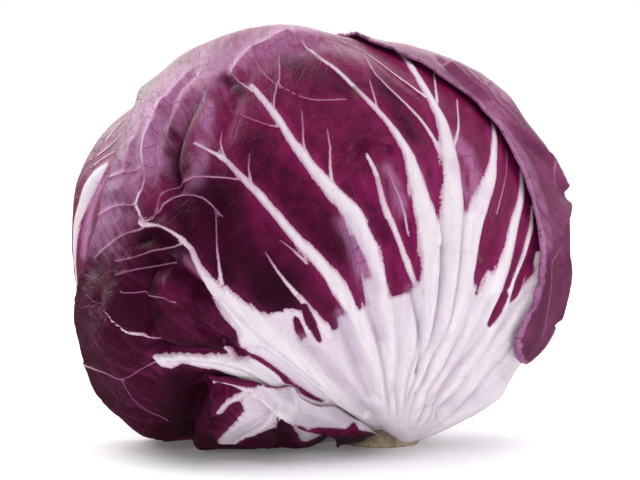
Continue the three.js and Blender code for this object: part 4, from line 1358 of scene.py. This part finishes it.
# %% Leaf finish
LILAC_SHEEN_AND_TINT, SHEEN_STREAK = colour(182, 128, 170), colour(118, 56, 102)  # painted lilac sheen over the wine, and a real lilac tint in a few places
NET_UNDER_SHEEN = colour(112, 34, 90)  # and the net of veins, darker through the painted sheen
PAINTED_SHADE_WINE = colour(32, 3, 15)  # painted shade: in folds, hollows and under margins
DULL_WHITE, BRIGHT_WHITE = colour(224, 212, 220), colour(236, 229, 233)  # of a rib's streaks
SHADED_UPPER_WHITE = colour(202, 191, 199)  # painted shade: a rib's white, darker far from the foot against the light from above
VALLEY_SHADE_WHITE = colour(202, 184, 200)  # painted shade, beside a rib's crest
# painted shade in the white base's grooves, and a lilac tint elsewhere
LILAC_SHADE_WHITE = colour(186, 164, 190)
SCAR_BROWN = colour(104, 70, 58)


def leaf_finish(name, wine, deep, flush, pale, net_share, shift):
    """Wine and deep are the skin's two tones, flush its tone beside ribs, pale that of thin
    veins; net_share is how plainly the net of veins shows, and shift moves wine against deep."""
    finish = Finish(name)
    (white, wide, raised), _ = finish.field("leaf")
    (across, half_width, in_line), _ = finish.field("vein")
    (dark, lilac, brown), _ = finish.field("tone")
    (flat_x, flat_y, _), flat = finish.field("flat")
    (turn, far, _), _ = finish.field("grain")

    # Streaks that run from foot to tip, noises of four sizes, and a net of veins of two sizes.
    streak_place = finish.node("ShaderNodeCombineXYZ", {}, {0: turn * 0.9, 1: far * 0.09, 2: 0.0})
    streak = finish.noise(streak_place, 1.0, 4.0, 0.6)
    fine = finish.noise(flat, 1.6, 3.0, 0.6)
    mottle = finish.noise(flat, 0.32, 4.0, 0.6)
    broad = finish.noise(flat, 0.07, 3.0, 0.55)
    warp = finish.noise(flat, 0.16, 2.0)
    bend = {"operation": "MULTIPLY_ADD"}
    bent = finish.node("ShaderNodeVectorMath", bend, {0: warp, 1: (5.0, 5.0, 0.0), 2: flat})
    cells = {"feature": "DISTANCE_TO_EDGE"}
    net = finish.node("ShaderNodeTexVoronoi", cells, {"Vector": bent, "Scale": 0.17})
    small_net = finish.node("ShaderNodeTexVoronoi", cells, {"Vector": bent, "Scale": 0.55})
    net_line = 1 - net.between(0.0, 0.03)
    small_line = 1 - small_net.between(0.0, 0.05)
    sheen_net = (1 - net.between(0.0, 0.05)).most((1 - small_net.between(0.0, 0.09)) * 0.45)
    ragged = (streak - 0.5) * 1.2 + (mottle - 0.5) * 0.8
    lilac = (lilac + ragged * lilac.between(0.0, 0.4)).between(0.0, 1.0)
    dark = (dark + ragged * 0.7 * dark.between(0.0, 0.4)).between(0.0, 1.0)

    # Where the surface is white: a rib's edge is feathered, but a thin line keeps its sharp edge,
    # because the distance across it is even over a face.
    close = in_line.between(-0.5, -0.3)
    wander = across + (finish.noise(flat, 0.55, 2.0) - 0.5) * 0.5
    thin = (half_width - wander.math("ABSOLUTE", wander)) * close + (close - 1) * 3
    inside = white.most(thin)
    edge = inside + wide * (streak - 0.5) * 2.2 + (fine - 0.5) * (0.12 + wide * 0.8)
    is_white = edge.between(-0.1, 0.14)
    beside = edge.between(-2.4, -0.1) * wide.between(0.12, 0.35)

    # The skin's colour, with painted lilac sheen and painted shade mixed into it.
    skin = finish.mix((broad + flat_x * 0.005 + flat_y * 0.003 + shift).between(0.3, 0.7), deep, wine)
    skin = finish.mix(mottle.between(0.42, 0.72) * 0.5, skin, deep)
    skin = finish.mix(streak.between(0.45, 0.75) * 0.3, skin, flush)
    skin = finish.mix(beside * (0.12 + 0.35 * streak), skin, flush)
    # Painted lilac sheen where the lilac tone is strong, with painted streaks and the net darker through
    # it.
    skin = finish.mix(lilac * 0.7, skin, LILAC_SHEEN_AND_TINT)
    net_tone = finish.mix(0.6, pale, flush)
    skin = finish.mix(net_line * (net_share * fine.between(0.35, 0.7)), skin, net_tone)
    skin = finish.mix(small_line * (net_share * 0.35), skin, net_tone)
    skin = finish.mix(sheen_net * lilac * fine.between(0.3, 0.6) * 0.85, skin, NET_UNDER_SHEEN)
    skin = finish.mix(streak.between(0.48, 0.66) * lilac * 0.5, skin, SHEEN_STREAK)
    # Painted shade where the dark tone is strong.
    skin = finish.mix(dark * 0.82, skin, PAINTED_SHADE_WINE)

    # The white, with painted shade away from the foot, between ribs and in the base's grooves, and
    # how it thins into the pale tone on the finest veins.
    cream = finish.mix(streak.between(0.3, 0.7), DULL_WHITE, BRIGHT_WHITE)
    # Painted shade: the white darker away from the foot, against the light from above.
    cream = finish.mix(flat_y.between(-45.0, 30.0) * 0.8, cream, SHADED_UPPER_WHITE)
    # Painted shade in the valleys between ribs.
    valley = 1 - raised.between(0.2, 1.3)
    cream = finish.mix(valley * wide * 0.45, cream, VALLEY_SHADE_WHITE)
    # Painted shade of lilac in the base's grooves, and a lilac tint where the tone is the skin's own.
    cream = finish.mix(lilac * 0.6, cream, LILAC_SHADE_WHITE)
    thin_colour = finish.mix(half_width.between(0.14, 0.5), pale, cream)
    rib = finish.mix(edge.between(0.0, 0.9), finish.mix(0.5, flush, cream), cream)
    rib = finish.mix(wide.between(0.0, 0.35), thin_colour, rib)
    shown = is_white * (0.5 + 0.5 * half_width.between(0.1, 0.25).most(wide.between(0.1, 0.3)))
    surface = finish.mix(shown, skin, rib)
    finish.set(Base_Color=finish.mix(brown, surface, SCAR_BROWN))

    # A soft gloss, and relief too fine for the mesh.
    ridge = (1 - (wander / (half_width * 1.3 + 0.05)) ** 2).most(0.0) * close * (1 - wide)
    relief = streak * (0.2 + 0.25 * is_white) + fine * 0.14 + ridge * 0.5
    relief = relief - net_line * 0.28 - small_line * 0.14
    bump = finish.node("ShaderNodeBump", {}, {"Height": relief, "Strength": 0.6, "Distance": 0.0005})
    finish.set(Roughness=0.38 + 0.16 * fine + 0.14 * is_white)
    finish.set(Normal=bump, Subsurface_Weight=0.05, Subsurface_Scale=0.002)
    finish.shader.inputs["Subsurface Radius"].default_value = (1.0, 0.45, 0.5)
    finish.set(Specular_IOR_Level=0.24, Specular_Tint=colour(236, 178, 230))
    return finish.material


wine_skin = leaf_finish(
    "wine_leaf",
    wine=colour(108, 15, 62),
    deep=colour(58, 5, 28),
    flush=colour(146, 36, 104),
    pale=colour(176, 108, 150),
    net_share=0.13,
    shift=0.0,
)
bloomy_skin = leaf_finish(
    "bloomy_leaf",
    wine=colour(132, 66, 104),
    deep=colour(104, 42, 76),
    flush=colour(148, 74, 118),
    pale=colour(176, 124, 156),
    net_share=0.25,
    shift=0.1,
)
for name, skin in skins.items():
    skin.data.materials.append(bloomy_skin if name == "leaf_right" else wine_skin)
print("skins finished:", len(skins))

# %% [markdown]
# ## The heart and the stem
#
# Inside the outer leaves is the heart, more leaves packed so tightly that only its outside is
# ever seen, through the gaps. It is one closed form with the steps of its inner leaves in a
# spiral. The stem is a short cone, cut flat; a cut face dries and browns from its middle.

# %% Heart


def around_stem(off_axis, azimuth):
    """Ways at angles off the stem's axis and round it, in degrees: the axis times the cosine of
    the first, and the front and right ways times its sine."""
    tilt, turn = np.radians(off_axis), np.radians(azimuth)
    sideways = FRONT_WAY * np.cos(turn)[:, None] + RIGHT_WAY * np.sin(turn)[:, None]
    return STEM_WAY * np.cos(tilt)[:, None] + sideways * np.sin(tilt)[:, None]


def ball_faces(rings, around):
    """Faces of rings of points between a first and a last point, turning outwards."""
    k = np.arange(around)
    after = (k + 1) % around
    ring = 1 + np.arange(rings - 1)[:, None] * around
    below = ring + around
    sides = np.stack([ring + k, below + k, below + after, ring + after], axis=-1)
    first = np.column_stack([np.zeros(around, int), 1 + k, 1 + after])
    low = 1 + (rings - 1) * around
    last = np.column_stack([np.full(around, 1 + rings * around), low + after, low + k])
    return sides.reshape(-1, 4).tolist() + first.tolist() + last.tolist()


HEART_AROUND = 200
HEART_RINGS = 119
INNER_LEAVES = 5
STEP_HEIGHT = 1.2  # mm, of an inner leaf's margin over the next leaf
TWIST = 0.55  # turns of a margin, as a share of an inner leaf, in 90 degrees
HEART_AT_STEM = 36  # mm from the middle to the heart on the stem's axis
CONE_ANGLE = 10.5  # degrees, half the stem's cone
ring_angles = 180 * np.arange(1, HEART_RINGS + 1) / (HEART_RINGS + 1)
ring_azimuths = -360 * np.arange(HEART_AROUND) / HEART_AROUND
off_axis = np.concatenate([[0], np.repeat(ring_angles, HEART_AROUND), [180]])
azimuth = np.concatenate([[0], np.tile(ring_azimuths, HEART_RINGS), [0]])
ways = around_stem(off_axis, azimuth)
turns = azimuth / 360 * INNER_LEAVES + TWIST * off_axis / 90
step = turns - np.floor(turns)
heart_relief = STEP_HEIGHT * step * smoothstep(1 - step, 0, 0.04) * np.sin(np.radians(off_axis))
pressed, _ = depth_under(0, ways)
under_scale = (SCALE_SUNK + SCALE_ROOM) * (1 - smoothstep(off_axis, 50, 60))
heart_points = point_at_depth(ways, np.maximum(pressed, under_scale) + GAP + heart_relief)
reach = np.linalg.norm(heart_points, axis=1)
drawn_in = HEART_AT_STEM + 0.6 * np.maximum(off_axis - CONE_ANGLE, 0)
heart_points *= (np.minimum(reach, drawn_in) / reach)[:, None]
heart_white = 22 - off_axis * 0.8 + 3 * noise(ways * 30, 6, 4)  # white near the stem
heart_flat = np.column_stack([azimuth * 0.9, off_axis * 0.9, np.zeros(len(ways))])
heart_fields = {
    "leaf": np.column_stack([heart_white, np.ones(len(ways)), step]),
    "flat": heart_flat,
    "grain": np.column_stack([azimuth, off_axis, step]),
}
heart = mesh_of("heart_leaves", heart_points, ball_faces(HEART_RINGS, HEART_AROUND), heart_fields)
heart.data.materials.append(wine_skin)
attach(heart, "root")
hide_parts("heart")
print("heart", len(heart.data.polygons), "faces")

# %% Stem
STEM_AROUND = 96
STEM_TOP = HEART_AT_STEM + 0.5  # mm from the head's middle
BEVEL = 0.8  # mm, at the cut's edge
HOLLOW = 0.3  # mm that the cut face has shrunk in at its middle


def stem_ring(angle, azimuths, distance_of):
    """A ring of the cone at this angle off the axis, each way as long as distance_of gives."""
    ways = around_stem(np.full(len(azimuths), angle), azimuths)
    return ways * distance_of(ways)[:, None]


def to_plane(distance):
    """Distances along ways to a plane across the stem's axis."""
    return lambda ways: distance / (ways @ STEM_WAY)


def to_table(lift):
    """Distances along ways to a level this far over the table."""
    return lambda ways: (MIDDLE_HEIGHT - lift) / -ways[:, 2]


# Rings by their share of the cone's angle and by what they reach: top, side, bevel and cut face.
stem_rows = [(share, to_plane(STEM_TOP)) for share in (0.3, 0.6, 0.9)]
stem_rows += [(1, to_plane(STEM_TOP + rise)) for rise in (1, 4, 7)]
stem_rows += [(1, to_table(2.0)), (1, to_table(BEVEL)), (0.93, to_table(0))]
stem_rows += [(share, to_table(HOLLOW * (1 - share))) for share in (0.8, 0.55, 0.3, 0.1)]
stem_azimuths = -360 * np.arange(STEM_AROUND) / STEM_AROUND
stem_rings = [stem_ring(CONE_ANGLE * share, stem_azimuths, reach) for share, reach in stem_rows]
stem_first = STEM_WAY * STEM_TOP
stem_last = STEM_WAY * (MIDDLE_HEIGHT - HOLLOW) / -STEM_WAY[2]
stem_points = np.vstack([stem_first, *stem_rings, stem_last])
stem = mesh_of("cut_stem", stem_points, ball_faces(len(stem_rings), STEM_AROUND))
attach(stem, "root")
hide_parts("stem")

# Both flesh tones are darker than fresh flesh: painted shade, as the stem lies in the shade under the
# head. The brown patches are real browning of the cut.
PALE_FLESH, DRY_FLESH = colour(196, 180, 156), colour(166, 142, 112)
BROWNED = colour(112, 80, 56)
stem_finish = Finish("cut_stem")
place = stem_finish.node("ShaderNodeTexCoord", {}, {}, output="Object")
grain = stem_finish.noise(place, 900.0, 4.0, 0.6)
patches = stem_finish.noise(place, 160.0, 3.0, 0.55)
flesh = stem_finish.mix(grain.between(0.35, 0.7), PALE_FLESH, DRY_FLESH)
stem_finish.set(Base_Color=stem_finish.mix(patches.between(0.45, 0.7) * 0.6, flesh, BROWNED))
stem_finish.set(Roughness=0.6 + 0.25 * grain)
bump = {"Height": grain, "Strength": 0.6, "Distance": 0.0005}
stem_finish.set(Normal=stem_finish.node("ShaderNodeBump", {}, bump))
stem.data.materials.append(stem_finish.material)
print("stem", len(stem.data.polygons), "faces")

# %% [markdown]
# ## Table and light
#
# The head lies on a plain white table. In a white room a dark leaf would turn grey all over, so
# the room is bright behind and above and dimmer in front, as in a studio. A soft light high
# behind on the left puts the grey sheen on the leaves there, a large one overhead whitens the
# table, and a small one in front brings out the folds. The table fades out into the white.

# %% Table, lights and room


def soft_light(name, place, width, height, power, mirrored=True):
    """A rectangular light that faces the head, in metres and watts. Where it isn't mirrored, it
    lights surfaces but leaves no glare on them, as a lamp behind polarising film does."""
    light = bpy.data.lights.new(name, "AREA")
    light.shape = "RECTANGLE"
    light.size, light.size_y, light.energy = width, height, power
    lamp = bpy.data.objects.new(name, light)
    lamp.location = place
    lamp.visible_glossy = mirrored
    lamp.rotation_euler = (LIT_POINT - Vector(place)).to_track_quat("-Z", "Y").to_euler()
    bpy.context.scene.collection.objects.link(lamp)


LIT_POINT = Vector((0, 0, 0.05))
TABLE_HALF = 3.0  # metres
table_mesh = bpy.data.meshes.new("table")
table_corners = [(x * TABLE_HALF, y * TABLE_HALF, 0) for x, y in ((-1, -1), (1, -1), (1, 1), (-1, 1))]
table_mesh.from_pydata(table_corners, [], [(0, 1, 2, 3)])
table = bpy.data.objects.new("table", table_mesh)
bpy.context.scene.collection.objects.link(table)
table.visible_glossy = False  # a matt table puts no glare on the leaves above it
table_finish = Finish("white_table")
table_place = table_finish.node("ShaderNodeTexCoord", {}, {}, output="Object")
length = {"operation": "LENGTH"}
from_middle = table_finish.node("ShaderNodeVectorMath", length, {0: table_place}, output="Value")
table_finish.set(Base_Color=colour(246, 246, 248), Roughness=0.9, Specular_IOR_Level=0.1)
table_finish.set(Emission_Color=(1, 1, 1, 1), Emission_Strength=0.08)
table_finish.set(Alpha=1 - from_middle.between(0.35, 1.1))
table.data.materials.append(table_finish.material)

soft_light("sheen_left", (-0.66, 0.58, 0.56), 0.8, 0.6, 7.5)
soft_light("sheen_behind", (-0.1, 1.0, 0.5), 1.1, 0.5, 4.5)
soft_light("sheen_right", (0.92, -0.1, 0.5), 0.6, 0.6, 5.0)
soft_light("overhead", (0.05, -0.25, 1.2), 1.4, 1.4, 15.0, mirrored=False)
soft_light("low_front", (-0.45, -1.15, 0.35), 0.9, 0.5, 6.4, mirrored=False)

FRONT_LIGHT = 0.08  # the room's brightness in front of the head
BACK_LIGHT = 0.95  # and high behind it
room = Finish("white_room", "worlds", "Background")
direction = room.node("ShaderNodeTexCoord", {}, {}, output="Generated")
parts = room.tree.nodes.new("ShaderNodeSeparateXYZ")
room.join(direction, parts.inputs[0])
far, high = Wire(room, parts.outputs[1]), Wire(room, parts.outputs[2])
behind = far.between(0.25, 0.9) * high.between(-0.05, 0.25)
seen = room.node("ShaderNodeLightPath", {}, {}, output="Is Camera Ray")
room.set(Color=(1, 1, 1, 1), Strength=(FRONT_LIGHT + (BACK_LIGHT - FRONT_LIGHT) * behind).most(seen))
bpy.context.scene.world = room.material
bpy.context.scene.view_settings.view_transform = "Standard"
print("lit")

# %% [markdown]
# ## Sizes
#
# Last, the size of the plain model is printed.

# %% Sizes and end
print("plain box", [[round(c * 1000, 1) for c in corner] for corner in cad_box])
